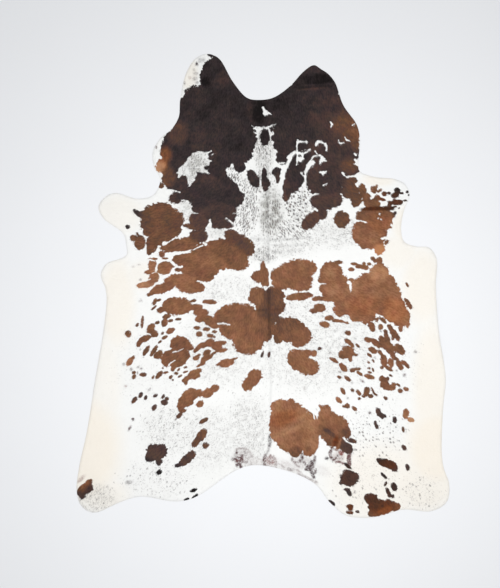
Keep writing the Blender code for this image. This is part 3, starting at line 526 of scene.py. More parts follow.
        (39.9, -52.5, 1.9, 0.9, -60, 0.49), (44.6, -52, 0.8, 0.6, -45, 0.58),
        (47.7, -53.3, 1.6, 0.9, -50, 0.49), (48, -56.2, 0.6, 0.5, 0, 0.58), (37.8, -57, 2, 1, -45, 0.35),
        (42.1, -59.8, 1.2, 1, -60, 0.51), (40.5, -60, 0.9, 0.5, 0, 0.54),
        (45.6, -61.2, 1.4, 0.9, -40, 0.49),
    ),
    "rump": (
        (8.8, -62, 5.2, 5.6, 0, 0.25), (13.7, -58.2, 2.2, 1.8, 0, 0.35), (13.5, -68.5, 10.5, 10.5, 0, 0.3),
        (8, -71, 7, 5, 90, 0.3), (15.5, -75.5, 9.8, 8, 0, 0.32), (21.5, -71.5, 9, 6.8, 90, 0.28),
        (24.2, -77.5, 5.8, 3.8, 90, 0.28), (16.2, -82.5, 3.2, 3, 0, 0.61), (22.8, -82.6, 2.8, 2.3, 0, 0.4),
        (33.5, -70.3, 7.8, 7.5, 0, 0.42), (31, -64, 4.8, 3.3, 80, 0.3), (37.5, -69.5, 5.5, 5, -50, 0.4),
        (41.2, -73, 3.3, 2.8, 90, 0.6), (34.5, -76.5, 4, 3.5, 90, 0.57), (36.8, -76, 2.5, 2, 0, 0.64),
        (41.2, -80, 4, 2.9, -50, 0.82), (37.7, -78.6, 3.3, 0.9, 68, 0.3), (39.7, -78.3, 2.4, 1.5, 90, 0.79),
        (43.2, -82, 1.7, 1.3, 90, 0.82), (44.8, -77.3, 2.1, 1, -20, 0.79), (-31.4, -58.9, 2, 1.5, 40, 0.35),
        (-29.6, -67.3, 2.5, 1.1, 30, 0.68), (-30.5, -74.4, 3.4, 2.2, 55, 0.59),
        (-33, -77.4, 2.8, 1.6, 60, 0.64), (-34.1, -79, 1.4, 1.4, 0, 0.68),
        (-28.6, -79.6, 1.7, 1.4, 10, 0.7), (-54.3, -60.6, 1.7, 1, 58, 0.79),
        (-41.8, -64.8, 1.7, 0.9, 45, 0.75), (-49.3, -58.2, 1.7, 1.3, -15, 0.75),
        (-48, -56.3, 0.9, 0.7, 0, 0.79), (-49.9, -55.2, 1, 0.5, 60, 0.82),
        (-53.7, -54.7, 1.1, 0.6, 25, 0.82), (-58.6, -55.7, 1, 0.6, 65, 0.82),
        (-61.1, -54.5, 1.5, 0.8, 65, 0.79), (-64.2, -57, 1.9, 1, 50, 0.72),
        (28.8, -60.5, 1.6, 0.6, -60, 0.3),
    ),
    "hind legs": (
        (-53.3, -83, 5, 4.1, 0, 0.82), (-56.2, -85, 2.8, 2.6, 0, 0.82), (-51, -82, 3.2, 3, 0, 0.84),
        (-52, -87.3, 2.4, 1.6, 90, 0.92), (-57.2, -86.4, 1.7, 1.4, 0, 1.05),
        (-51.8, -93, 1.4, 1.2, 30, 1.15), (-36.1, -84.6, 3, 2.1, 30, 0.76),
        (-38.7, -87.1, 3.7, 2.1, 38, 0.78), (-41.9, -89.3, 2.3, 0.9, 20, 1),
        (-34.7, -102, 1.8, 0.7, 18, 1.2), (-34, -105.1, 2, 0.6, 35, 1.2),
        (-38.2, -106.6, 1.3, 0.6, 20, 1.15), (-86.9, -101, 2.3, 2.1, 40, 1),
        (-87.3, -98.7, 3, 1.6, 50, 0.5), (-90.4, -103.3, 2.7, 2.3, 0, 0.84),
        (-90.6, -105.2, 1.1, 1.2, 0, 0.95), (-88.9, -103.8, 1.5, 1.6, 0, 1.1),
        (-90, -100.9, 2.4, 1.7, 40, 0.48), (62, -88.7, 5, 2.2, -17, 0.8), (65.2, -90.3, 2, 2.6, 20, 0.82),
        (59.1, -87.4, 2.4, 1, -25, 0.95), (57.9, -86.8, 1.2, 0.5, -15, 0.95),
        (72.1, -90.5, 1.6, 0.9, -75, 0.9), (60.3, -94.7, 2, 0.7, -45, 1), (61.2, -98.8, 1.1, 0.5, 65, 0.95),
        (65.5, -100.3, 2.2, 1.4, -65, 0.95), (62.6, -103, 2.6, 0.9, -65, 0.95),
        (63.2, -104.8, 0.8, 0.6, 0, 0.9), (64.8, -105, 0.8, 0.6, 90, 0.9), (43, -96, 4.5, 3.9, 0, 0.86),
        (41.2, -93.1, 1.6, 1.2, 45, 0.88), (39.9, -97.9, 1.8, 1.1, 20, 0.86),
        (45.6, -95.6, 2.4, 2.4, 0, 0.86), (41.8, -101.6, 1.3, 0.7, 0, 0.95),
        (43, -103.3, 1.7, 1, -60, 0.95), (42, -89.6, 1.7, 0.8, -45, 0.95), (43.2, -91, 0.8, 0.6, 0, 0.95),
        (34.3, -108.3, 2.1, 0.8, -38, 1.05), (43.3, -110, 1.7, 1.1, 0, 0.75),
        (43.7, -111.2, 1, 0.8, 0, 0.75), (43.2, -113.1, 1.8, 0.8, -8, 0.75),
        (47.2, -112.7, 0.9, 0.5, -15, 0.9), (54.6, -107, 4.4, 3.2, -45, 0.8),
        (57.3, -109.8, 5, 3.6, 0, 0.8), (62.5, -109.5, 4.6, 2.6, -10, 0.66),
        (66.2, -110.3, 2.4, 2.3, 0, 0.55), (60, -112.3, 6, 2, 18, 0.4), (62.5, -107.4, 1, 0.9, 0, 0.85),
        (55.3, -113.6, 3.2, 1.7, 0, 0.55), (65.8, -66.8, 1.6, 1, -80, 0.9),
        (57.6, -63, 2.3, 1.2, -70, 0.75), (59.3, -64.8, 1.5, 1.1, -60, 0.8),
        (60.7, -64.8, 0.9, 0.5, -40, 0.9), (56.1, -68.4, 0.9, 0.6, 90, 0.85),
        (56.8, -70.2, 1, 0.7, -60, 0.85), (71.3, -63.8, 2.5, 1.6, 80, 0.35),
        (73.8, -66.8, 1.6, 1.2, -30, 0), (70, -71.7, 1.3, 0.6, -80, 0.75), (70.4, -80.7, 1.5, 1, -50, 0.8),
    ),
}
GAPS = (
    (1.4, 86.4, 1.5, 1.1, -20), (-31.6, 64.6, 4.4, 2.7, 0), (-31.6, 61.8, 5, 3.2, 0),
    (-35.4, 60.2, 4.6, 3.4, 35), (-39, 58, 3.4, 2.6, 20), (-36, 55.6, 2.5, 1.8, 0),
    (-31.4, 58.8, 4, 2, -12), (-23.3, 26.3, 4.3, 2.4, 0), (-15.5, 58.3, 2.9, 1, 90),
    (41.5, -16, 1.9, 1.8, 0), (-53.3, 8.4, 0.7, 1.2, 0), (58.2, 36, 0.55, 0.35, 60),
    (57.4, 33.9, 0.35, 0.3, 0), (59, 33.2, 0.4, 0.3, 0), (60.3, 23.9, 1.5, 0.6, 20),
    (29.6, 63, 1.7, 0.9, 35), (18.5, 63.4, 1.6, 0.9, 100), (30.1, 56.6, 1.3, 0.7, 10),
    (29.8, 109.3, 2.6, 0.7, -34), (65.2, -29.4, 0.6, 0.4, 60), (-87.9, -104.4, 0.7, 0.6, 0),
    (-36.2, 63.4, 1.6, 1.4, 0), (-34.6, 65.3, 1.1, 1.3, 0), (-28.4, 65.2, 1.1, 1.3, 0),
)
THREADS = (
    # the middle of the neck
    (0.5, (0.1, 89.3), (0.6, 87), (1.1, 85)), (0.5, (0.3, 88.5), (2, 87), (4.2, 85.6)),
    (0.3, (2.5, 79.2), (4.4, 80.2), (6.6, 80.7)), (0.55, (2.5, 79.2), (3.3, 77), (3.7, 74.6)),
    # the net of white right of it
    (0.55, (5, 59.8), (8, 61.3), (11, 61.6)), (1.25, (10, 57), (12, 60.6), (13.6, 63.6)),
    (1.1, (13, 64), (15, 66.3), (16.8, 67.2)), (0.8, (16.5, 66.8), (18.5, 66.3), (20, 65.5)),
    (0.75, (17.6, 66), (17.4, 63.5)), (0.45, (17.2, 63.5), (16.7, 60.4)), (0.6, (19.6, 66), (20, 63.4)),
    (0.35, (19.5, 64), (21, 63.2)), (0.6, (18.3, 63.6), (19.8, 63.6)),
    (0.45, (17, 67.5), (16.9, 70), (17.3, 72)), (0.7, (17.2, 71.8), (17.4, 72.8)),
    (0.6, (17.3, 72.2), (22, 72)), (0.5, (21.6, 71.8), (21.5, 72.7)),
    (0.3, (20.5, 66.2), (22.2, 67.1), (23.8, 68.6)),
    (0.75, (26.6, 70.8), (27.3, 72.2), (29.2, 71.9), (31, 70.8)),
    (0.6, (31, 70.8), (31.8, 69), (31.4, 67.6)), (0.4, (26, 67.4), (27, 66), (28.5, 65.4), (29.6, 64.8)),
    (0.35, (28.8, 65.2), (26, 65.1), (24.6, 64.4)), (0.9, (29.4, 64), (29.6, 62.4)),
    (0.6, (29.5, 62.8), (31.6, 62.6)), (0.5, (29, 62.5), (28.4, 60.9)),
    (0.55, (21.6, 58), (22.4, 60.6), (25, 64.4)), (0.4, (21.6, 58.2), (21, 55)),
    (0.6, (21, 55), (21.2, 52), (20.6, 50)), (0.6, (19.3, 56.4), (19.6, 55.4)),
    (0.35, (19.6, 55.4), (21, 54.9)), (0.6, (28.7, 56.8), (31.7, 57.1)), (0.8, (29.9, 56.5), (29.8, 55.7)),
    (0.3, (30, 50.2), (32.2, 51.3)), (0.4, (24.4, 45.2), (26, 46), (28, 46.1)),
    # the neck's right side
    (0.45, (33.7, 82), (34.6, 80.7), (33.9, 79.4)), (0.45, (38, 71.6), (39, 71.1), (40.4, 71.7)),
    (0.25, (37.7, 73), (38, 71.8)), (0.4, (41, 74), (41.8, 72.8), (43.2, 72.6)),
    (0.6, (45.8, 66), (46.6, 65.2)), (0.6, (46, 63), (47.5, 61.4), (48.2, 59.8)),
    (0.3, (44.6, 80.3), (46.2, 81)), (0.5, (39.8, 56.5), (40.4, 55.3), (41.8, 54.4)),
    (0.4, (41.8, 54.4), (43.6, 54.8), (46.4, 55)),
    # the bare patch on the left shoulder
    (0.6, (-28.6, 66.2), (-25.8, 67.3)), (0.6, (-28, 62.9), (-26, 62.4)), (0.5, (-30, 57.9), (-26.8, 56.2)),
    (2.6, (-35.6, 55.6), (-35.9, 53.6)), (1.9, (-36, 53.2), (-36.5, 51.4)),
    (0.7, (-36.5, 51.2), (-36.7, 50)), (1, (-41.2, 56.6), (-41.9, 54.4)),
    (0.7, (-40.6, 57.2), (-42.9, 56.5)),
    # the bare star behind it
    (1.6, (-27, 28.6), (-26.3, 31)), (0.5, (-26.3, 30.8), (-26.5, 33.4)),
    (0.7, (-20.4, 27.6), (-17.8, 28.2)), (0.3, (-18, 28.3), (-15, 29)), (0.9, (-26.2, 25.2), (-27.6, 22.6)),
    (0.8, (-28.8, 20.9), (-29.8, 21.7)), (0.4, (-27.4, 22.6), (-29.2, 21.4)),
    (0.9, (-21, 25), (-19.1, 23.7)), (0.5, (-14.6, 30.8), (-16.5, 32.5), (-18.6, 34)),
    (0.35, (-12.5, 36.2), (-14.8, 36.5)), (0.8, (-36.2, 36.7), (-34.4, 36.5)),
    (0.4, (-34.6, 36.5), (-32.4, 36.3)), (0.45, (-47, 48), (-44, 47.5), (-41.4, 46.8)),
    (0.35, (-43.5, 24.2), (-46, 22.6), (-49, 21)), (0.35, (-53.2, 9), (-52.6, 11.4), (-50.8, 12.7)),
    (0.4, (-58.6, 16.6), (-58.5, 21)), (0.35, (-62, 26.2), (-58.4, 24.6)),
    (0.3, (-30, 20.3), (-32.5, 19.3), (-35, 17.8)), (0.8, (-44, 16.2), (-36.2, 17)),
    (0.3, (-52, 18.1), (-49, 17.4)), (0.3, (-56.6, 13.2), (-54, 12.4)), (0.3, (-58, 2.7), (-56, 3.6)),
    # the backbone and the loin
    (0.5, (3.3, 8.5), (3.3, -0.4)), (0.7, (0.8, -0.8), (2, -0.4)),
    (0.45, (-22.5, -18.9), (-20, -18.5), (-16.6, -19.3)), (0.5, (4.8, -25), (4.8, -27)),
    (0.9, (4.8, -27.5), (4.8, -30.5)), (0.4, (-47, -39.6), (-46, -38.2), (-43.9, -37.2)),
    (0.3, (-44.9, -33), (-42, -32.5), (-39.4, -31)),
    # the right side
    (0.6, (43.6, 1), (43.8, -3)), (0.45, (27.4, 0.9), (31.2, 1.2)), (1, (42.8, 1.8), (44, 1)),
    (0.5, (46, 32.6), (49, 32.5), (51.5, 31.8)), (0.5, (45.9, 36), (45.7, 33.2)),
    (0.45, (53.4, 46.9), (55, 45.7), (57.6, 46.1), (59.6, 45.3)), (0.6, (44.6, 38), (48, 39.4), (49.9, 42)),
    # the rump
    (0.25, (40.6, -91.2), (43.9, -91.6)), (0.5, (40.3, -75.8), (41.6, -77.4), (44, -78.9)),
    (0.6, (28.4, -75.2), (28.2, -78.5)), (0.5, (25, -63), (25.8, -66.4)),
)
# Dark again inside a gap
SPECKS = (
    (-28.2, 59.2, 1.3, 1, 20), (18.1, 65, 0.8, 0.6, 20), (16, 63.2, 2, 0.4, 85),
)

# What a vertex carries for the coat's material; crease is how strongly painted shade darkens the coat along
# a crease
CHANNELS = {
    "marks": ("warmth", "crease", "rust"), "patch": ("depth", "shade", "ragged"),
    "ticking": ("fine", "medium", "coarse"), "ground": ("cream", "grizzle", "veil"),
}

# Shading
DEEPEST_SHADE = 1.2
BLOTCHES = {"small": 0.0045, "middling": 0.011, "broad": 0.026, "wide": 0.07}  # metres across, in noise
SCALLOP = 0.013  # metres between the lobes of a ragged edge
SCALLOPS = (-0.9, 0.38)  # a lobe's bulge: its change away from the middle, and its height there
RAGGED_SWINGS = {"broad": 1.2, "middling": 0.9, "small": 0.25}  # how far noise moves a ragged edge
EDGE_SWINGS = {"small": 0.1, "strand": 0.08}  # and every edge, in pattern centimetres
EDGE_BLUR = 0.12  # pattern centimetres either side of an edge in which the hairs mix
SHADE_SWINGS = {"wide": 0.17, "broad": 0.12, "middling": 0.055, "strand": 0.05}
LOCK_SWING = 0.04  # the same from lock to lock
HUE_BLOTCH = 0.045  # metres across
HUE_SWING, LEAST_HUE = 0.24, 0.88  # how far each primary of a patch changes, and from what share up
# Each of these carries the range of its first two numbers to that of its last two
DARK_EVENS = (0.55, 0.8, 1.0, 0.65)  # tone to how much the shade swings
GRIZZLE_CLOUDS = (0.3, 0.7, 0.3, 1.0)  # noise to the grizzle's strength
TICKING_CLUMPS = (0.36, 0.62, 0.15, 1.5)  # noise to how many flecks there are
VEIL_CLUMPS = (0.38, 0.58, 0.4, 1.35)  # noise to the veil's strength
DENSE_FLECKS = (0.0, 0.7, 0.4, 1.0)  # amount of ticking to how dark its flecks are
PIT_CLOUDS = (0.35, 0.65)  # noise to the share of the leather's darker colour
CLOUD_IN_GRAIN = 0.6  # how much noise adds to the leather's relief
STRANDS_IN_WHITE, STRANDS_IN_PATCH = 0.03, 0.14  # how far single hairs differ in lightness
MEAN_STRAND = 0.99
CREASE_SHADE = 0.4  # painted shade: how much darker the coat's colour is made in the deepest crease
COAT_ROUGHNESS = (0.2, 0.5)  # spread over the first number, from the second up
FLECK_SIZE = (0.8, 0.6)  # the same for a fleck's size
FLECK_RIM = (1.2, 0.7)  # half lengths from a fleck's middle to where it starts and where it is full
WOBBLE_BLOTCH, WOBBLE = 0.004, 0.003  # metres: noise that moves the flecks, and how far it does
LOCK = {"cell": 0.011, "length": 0.011, "width": 0.0035, "share": 0.8}  # of the patches
RIDGE = {"cell": 0.0035, "length": 0.006, "width": 0.0014, "share": 1.0}  # of the lying hair
LIGHT_ON_FLOOR = 1.38  # how bright a white floor would show under the middle of the light
LIGHT_ON_HAIR = 1.47  # how bright the colours of the coat are lit
LIGHT_ON_WHITE = 1.165  # the same, where pale hair shades itself
LIGHT_ON_BARE = 1.22  # the same for bare leather and the floor
# Layers of flecks: which amount of ticking, then cell, length and width in metres, and strength
FLECKS = (
    (0, 0.0055, 0.0034, 0.0014, 0.5), (1, 0.0115, 0.0085, 0.0022, 0.8), (2, 0.0165, 0.0050, 0.0036, 0.9),
)
RUST_TINT = (1.1, 0.66, 0.34)  # what a redder brown makes of each primary

# The stage
FLOOR_SIZE = 60.0
FLOOR_CLOUDS = 0.985  # the darker shade of the floor, as a share of the other
SKY = (0.975, 0.985, 1.0)
LIGHT_PLACE = (0.12, -0.3)
SENSOR = 36.0  # millimetres along the picture's length
PICTURE_LENGTH = 294.0  # pattern centimetres that the picture shows from top to bottom
PICTURE_MIDDLE = (-6.5, -4.0)  # pattern centimetres across and along

ACROSS = np.arange(-CHART_HALF_WIDTH, CHART_HALF_WIDTH + CHART_CELL / 2, CHART_CELL)
ALONG = np.arange(-CHART_HALF_LENGTH, CHART_HALF_LENGTH + CHART_CELL / 2, CHART_CELL)


# Charts: numbers over the pattern, on a grid of CHART_CELL


def blank(value=0.0):
    """A chart with one number everywhere."""
    return np.full((len(ALONG), len(ACROSS)), value)


def window(row, reach):
    """The part of a chart within reach of a row's ellipse, and the places of its points."""
    spread = max(row.long, row.wide) + reach
    columns = slice(*np.searchsorted(ACROSS, (row.across - spread, row.across + spread)))
    rows = slice(*np.searchsorted(ALONG, (row.along - spread, row.along + spread)))
    return (rows, columns), ACROSS[None, columns], ALONG[rows, None]


def in_ellipse(row, across, along):
    """Where points are in a row's ellipse, along each of its axes, in half lengths."""
    turn = math.radians(row.turn)
    east, north = across - row.across, along - row.along
    longways = east * math.cos(turn) + north * math.sin(turn)
    sideways = north * math.cos(turn) - east * math.sin(turn)
    return longways / row.long, sideways / row.wide


def depth_in(row, across, along):
    """How deep points lie in a row's ellipse, in pattern centimetres. It is negative outside."""
    longways, sideways = in_ellipse(row, across, along)
    out = np.hypot(longways, sideways) + SMALL
    slope = np.hypot(longways / row.long, sideways / row.wide) / out + SMALLER
    return np.clip((1.0 - out) / slope, -REACH, REACH)


def eased(share):
    """A share from 0 to 1 that starts and ends smoothly."""
    share = np.clip(share, 0.0, 1.0)
    return share * share * (3.0 - 2.0 * share)


def line_window(row, reach):
    """The part of a chart within reach of a line, how far its points lie from the line, and which share
    of the line's length comes before them."""
    places = np.array(row.places)
    low, high = places.min(0) - reach, places.max(0) + reach
    columns = slice(*np.searchsorted(ACROSS, (low[0], high[0])))
    rows = slice(*np.searchsorted(ALONG, (low[1], high[1])))
    across, along = ACROSS[None, columns], ALONG[rows, None]
    away, passed, before = [], [], 0.0
    for start, end in zip(places, places[1:]):
        east, north = end - start
        ahead, aside = across - start[0], along - start[1]
        share = np.clip((ahead * east + aside * north) / (east**2 + north**2), 0.0, 1.0)
        away.append(np.hypot(ahead - share * east, aside - share * north))
        passed.append(before + share * math.hypot(east, north))
        before += math.hypot(east, north)
    nearest = np.argmin(away, axis=0)[None]
    away, passed = (np.take_along_axis(np.array(stack), nearest, 0)[0] for stack in (away, passed))
    return (rows, columns), away, passed / before


def line_glow(row):
    """A part of a chart, and 1 on a line, falling smoothly to 0 past its sides."""
    here, away, _ = line_window(row, LINE_GLOW / LINE_FALL * row.half_width + LINE_MARGIN)
    return here, eased(LINE_GLOW - LINE_FALL * away / row.half_width)


def glow(row, across, along):
    """1 in the middle of a row's ellipse, falling smoothly to 0 a little past its rim."""
    out = np.hypot(*in_ellipse(row, across, along))
    return eased((GLOW_REACH - out) / GLOW_FALL)


def patch_charts():
    """The depth in the coat's patches, negative on the white, their shade, and how ragged their edge is."""
    merged = blank(math.exp(-REACH * MERGE))
    weight, shades, rags = blank(SMALL), blank(), blank()
    for lobe in (Lobe(*row) for rows in PATCHES.values() for row in rows):
        here, across, along = window(lobe, REACH)
        depth = depth_in(lobe, across, along) + SPOT_SPREAD / max(1.0, lobe.long, lobe.wide)
        merged[here] += np.exp(MERGE * depth)
        pull = np.exp(SHADE_MERGE * depth)
        weight[here] += pull
        shades[here] += pull * lobe.shade
        rags[here] += pull * min(1.0, RAGGED_SHARE * min(lobe.long, lobe.wide))
    depths = np.log(merged) / MERGE
    shades /= weight
    rags /= weight
    cuts = []
    for gap in (Gap(*row) for row in GAPS):
        here, across, along = window(gap, REACH)
        cuts.append((here, depth_in(gap, across, along)))
    for thread in (Thread(half_width, places) for half_width, *places in THREADS):
        here, away, passed = line_window(thread, REACH)
        cuts.append((here, thread.half_width * (1.0 - THREAD_TAPER * passed) - away))
    for here, depth in cuts:
        depths[here] = np.minimum(depths[here], -depth)
        rags[here] = np.where(depth > -GAP_REACH, np.minimum(rags[here], GAP_RAGGED), rags[here])
    for speck in (Gap(*row) for row in SPECKS):
        here, across, along = window(speck, REACH)
        depths[here] = np.maximum(depths[here], depth_in(speck, across, along))
    for tone in TONES:
        here, across, along = window(tone, REACH)
        share = tone.strength * glow(tone, across, along)
        shades[here] += share * (tone.shade - shades[here])
    return depths, shades, rags


def shares_of(row):
    """A part of a chart, and how strongly a row counts at each of its points."""
    if hasattr(row, "places"):
        return line_glow(row)
    here, across, along = window(row, REACH)
    return here, glow(row, across, along)


def strongest(rows, measure):
    """A chart of the strongest of some rows at each place."""
    chart = blank()
    for row in rows:
        here, shares = shares_of(row)
        chart[here] = np.maximum(chart[here], getattr(row, measure) * shares)
    return chart


def warmth_chart():
    """How warm the thin hair of the veils and wisps is."""
    weight, weighed = blank(SMALL), blank()
    for row in (*VEILS, *WISPS):
        here, shares = shares_of(row)
        weight[here] += shares * row.strength**2
        weighed[here] += shares * row.strength**2 * row.warmth
    return weighed / weight


@cache
def coat_charts():
    """Every chart that the coat's material reads, by name."""
    depths, shades, rags = patch_charts()
    charts = {"depth": depths, "shade": shades, "ragged": rags, "warmth": warmth_chart()}
    for measure in ("fine", "medium", "coarse", "grizzle"):
        charts[measure] = strongest(TICKINGS, measure)
    marks = {"cream": TINTS, "veil": (*VEILS, *WISPS), "crease": CREASES, "rust": RUSTS}
    charts.update((name, strongest(rows, "strength")) for name, rows in marks.items())
    return charts


def read_chart(chart, places):
    """A chart's numbers at places on the floor, in metres."""
    column = np.clip((places[:, 0] / SCALE + CHART_HALF_WIDTH) / CHART_CELL, 0, len(ACROSS) - LAST_CELL)
    row = np.clip((places[:, 1] / SCALE + CHART_HALF_LENGTH) / CHART_CELL, 0, len(ALONG) - LAST_CELL)
    left, below = column.astype(int), row.astype(int)
    right_share, above_share = column - left, row - below
    under = chart[below, left] * (1 - right_share) + chart[below, left + 1] * right_share
    over = chart[below + 1, left] * (1 - right_share) + chart[below + 1, left + 1] * right_share
    return under * (1 - above_share) + over * above_share


def lie_at(places):
    """The direction in which the hair lies at places on the floor."""
    across, along = places[:, 0] / SCALE, places[:, 1] / SCALE
    outwards = np.interp(along, [lie.along for lie in LIES], [lie.outwards for lie in LIES])
    turned = np.radians(outwards) * np.tanh(across / LIE_WIDTH)
    return np.stack([np.sin(turned), -np.cos(turned), np.zeros(len(places))], 1)


def write_coat(mesh, places):
    """Gives each vertex what the coat's material reads at its place."""
    at = {name: read_chart(chart, places) for name, chart in coat_charts().items()}
    vectors = {name: np.stack([at[part] for part in parts], 1) for name, parts in CHANNELS.items()}
    vectors["lie"] = lie_at(places)
    for name, values in vectors.items():
        mesh.attributes.new(name, "FLOAT_VECTOR", "POINT").data.foreach_set("vector", values.ravel())


# Meshes


def placed(name, data):
    """A new object in the scene."""
    made = bpy.data.objects.new(name, data)
    bpy.context.scene.collection.objects.link(made)
    return made


def places_of(mesh):
    """Where a mesh's vertices are."""
    places = np.empty(len(mesh.vertices) * 3)
    mesh.vertices.foreach_get("co", places)
    return places.reshape(-1, 3)


def corners_of(mesh):
    """The vertex at each corner of a mesh's faces."""
    corners = np.empty(len(mesh.loops), int)
    mesh.loops.foreach_get("vertex_index", corners)
    return corners


def lay_out(mesh, on_map):
    """Sets a mesh's map from the place of each corner of its faces."""
    mesh.uv_layers.new(name="OFBake").data.foreach_set("uv", on_map.ravel())


# The skin


def frame_rim():
    """The hide's outline on the floor, as the frame has it: points in order along its lower rim."""
    work = bmesh.new()
    work.from_mesh(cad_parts["hide"].data)
    bmesh.ops.remove_doubles(work, verts=work.verts, dist=SAME_PLACE)
    work.normal_update()
    follows = {}
    for edge in work.edges:
        below = [face.normal.z < FACES_DOWN for face in edge.link_faces]
        if sorted(below) == [False, True]:
            for start, end in (edge.verts, reversed(edge.verts)):
                follows.setdefault(start, []).append(end)
    first = next(iter(follows))
    rim, before, at = [first], None, first
    while True:
        ahead = next(other for other in follows[at] if other is not before)
        if ahead is first:
            break
        rim.append(ahead)
        before, at = at, ahead
    points = np.array([vertex.co[:2] for vertex in rim])
    work.free()
    east, north = points.T
    turns_left = (east * np.roll(north, -1) - np.roll(east, -1) * north).sum() > 0
    return points if turns_left else points[::-1]


def smooth_loop(points, steps):
    """A closed loop with more points, on a smooth curve through the old ones."""
    before, after, beyond = (np.roll(points, shift, 0) for shift in (1, -1, -2))
    made = []
    for step in range(steps):
        at = step / steps
        made.append(
            points
            + 0.5 * at * (after - before)
            + 0.5 * at**2 * (2 * before - 5 * points + 4 * after - beyond)
            + 0.5 * at**3 * (3 * points - before - 3 * after + beyond)
        )
    return np.stack(made, 1).reshape(-1, 2)


def outwards_of(loop):
    """The outward direction at each point of an anticlockwise loop."""
    ahead = np.roll(loop, -1, 0) - np.roll(loop, 1, 0)
    out = np.stack([ahead[:, 1], -ahead[:, 0]], 1)
    return out / np.linalg.norm(out, axis=1, keepdims=True)


def skin_rim(sizes):
    """The cut edge of the leather: further in where the hair grows out over it."""
    loop = smooth_loop(frame_rim(), RIM_STEPS)
    out = outwards_of(loop)
    over = np.clip((out * lie_at(loop)[:, :2]).sum(1), 0.0, 1.0)
    return loop - out * (sizes.rim_inset + sizes.hair_overhang * over)[:, None]


def rim_distances(places, loop):
    """How far places lie inside a loop, in metres. It is negative outside."""
    start, end = loop, np.roll(loop, -1, 0)
    side = end - start
    length = (side**2).sum(1)
    found = []
    for some in np.array_split(places, len(places) // AT_ONCE + 1):
        off = some[:, None] - start
        share = np.clip((off * side).sum(2) / length, 0.0, 1.0)
        away = np.linalg.norm(off - side * share[:, :, None], axis=2).min(1)
        crosses = (start[:, 1] > some[:, None, 1]) != (end[:, 1] > some[:, None, 1])
        steep = np.where(side[:, 1] == 0.0, SMALLEST, side[:, 1])
        at = start[:, 0] + side[:, 0] * (some[:, None, 1] - start[:, 1]) / steep
        inside = (crosses & (at > some[:, None, 0])).sum(1) % 2 == 1
        found.append(np.where(inside, away, -away))
    return np.concatenate(found)


def rim_chart(loop):
    """A chart of how far the pattern's places lie inside the loop, filled in from a coarser grid."""
    columns = np.arange(0, len(ACROSS) + RIM_CELLS, RIM_CELLS)
    rows = np.arange(0, len(ALONG) + RIM_CELLS, RIM_CELLS)
    across = -CHART_HALF_WIDTH + columns * CHART_CELL
    along = -CHART_HALF_LENGTH + rows * CHART_CELL
    places = np.stack(np.meshgrid(across, along), -1).reshape(-1, 2) * SCALE
    sparse = rim_distances(places, loop).reshape(len(rows), len(columns))
    wide = np.array([np.interp(ACROSS, across, line) for line in sparse])
    return np.array([np.interp(ALONG, along, line) for line in wide.T]).T


def lattice(step):
    """Staggered rows of points over the pattern, in metres."""
    row_gap = step * math.sqrt(3.0) / 2.0
    rows = np.arange(-CHART_HALF_LENGTH * SCALE, CHART_HALF_LENGTH * SCALE, row_gap)
    columns = np.arange(-CHART_HALF_WIDTH * SCALE, CHART_HALF_WIDTH * SCALE, step)
    places = np.stack(np.meshgrid(columns, rows), -1)
    places[1::2, :, 0] += step / 2.0
    return places.reshape(-1, 2)


def fold_heights(places):
    """How high the folds lift the underside at places on the floor."""
    highest = np.zeros(len(places))
    for fold in FOLDS:
        start = np.array(fold.start) * SCALE
        crest = np.array(fold.end) * SCALE - start
        share = np.clip(((places - start) @ crest) / (crest @ crest), 0.0, 1.0)
        away = np.linalg.norm(places - start - share[:, None] * crest, axis=1)
        away = np.clip(away / (fold.half_width * SCALE), 0.0, 1.0)
        highest = np.maximum(highest, fold.rise * (1.0 + np.cos(math.pi * away)) / 2.0)
    return highest


def filled(loop, inner):
    """Triangles over a loop and the points inside it, and every point, the loop's first."""
    points = [Vector(place) for place in np.concatenate([loop, inner])]
    around = list(range(len(loop)))
    made, _, faces, from_points, *_ = delaunay_2d_cdt(points, [], [around], FILL_INSIDE, FILL_TOLERANCE)
    order = np.array([min(sources) for sources in from_points])
    if len(made) != len(points):
        raise RuntimeError("two points of the skin fell together")
    faces = order[np.array(faces)]
    places = np.array([point[:] for point in points])
    first, second, third = (places[faces[:, corner]] for corner in range(3))
    ahead, beyond = second - first, third - first
    downwards = ahead[:, 0] * beyond[:, 1] - ahead[:, 1] * beyond[:, 0] < 0.0
    faces[downwards] = faces[downwards][:, ::-1]
    return places, faces


def inner_places(loop):
    """The skin's points inside its rim: close together near the edges of the patches."""
    inside = rim_chart(loop)
    charts = coat_charts()
    chosen = []
    for step, spotted in ((SPOTTED_STEP, True), (PLAIN_STEP, False)):
        places = lattice(step)
        places = places[read_chart(inside, places) > step * CLEAR_OF_RIM]
        near_edge = np.abs(read_chart(charts["depth"], places)) < EDGE_BAND
        for name in ("veil", "crease"):
            near_edge |= read_chart(charts[name], places) > FAINTEST
        chosen.append(places[near_edge == spotted])
    return np.concatenate(chosen), inside


def skin_top(loop, inner, inside, sizes):
    """The hair side: its places with their heights, and its triangles."""
    places, faces = filled(loop, inner)
    away = read_chart(inside, places)
    away[: len(loop)] = 0.0
    share = np.clip(away / sizes.rim_width, 0.0, 1.0)
    full = 1.0 - (1.0 - sizes.rim_share) * (1.0 - share) ** 2
    furrows = CREASE_DEPTH * read_chart(coat_charts()["crease"], places)
    heights = fold_heights(places) + UNDERSIDE_LIFT + sizes.thickness * full - furrows
    return np.column_stack([places, heights]), faces


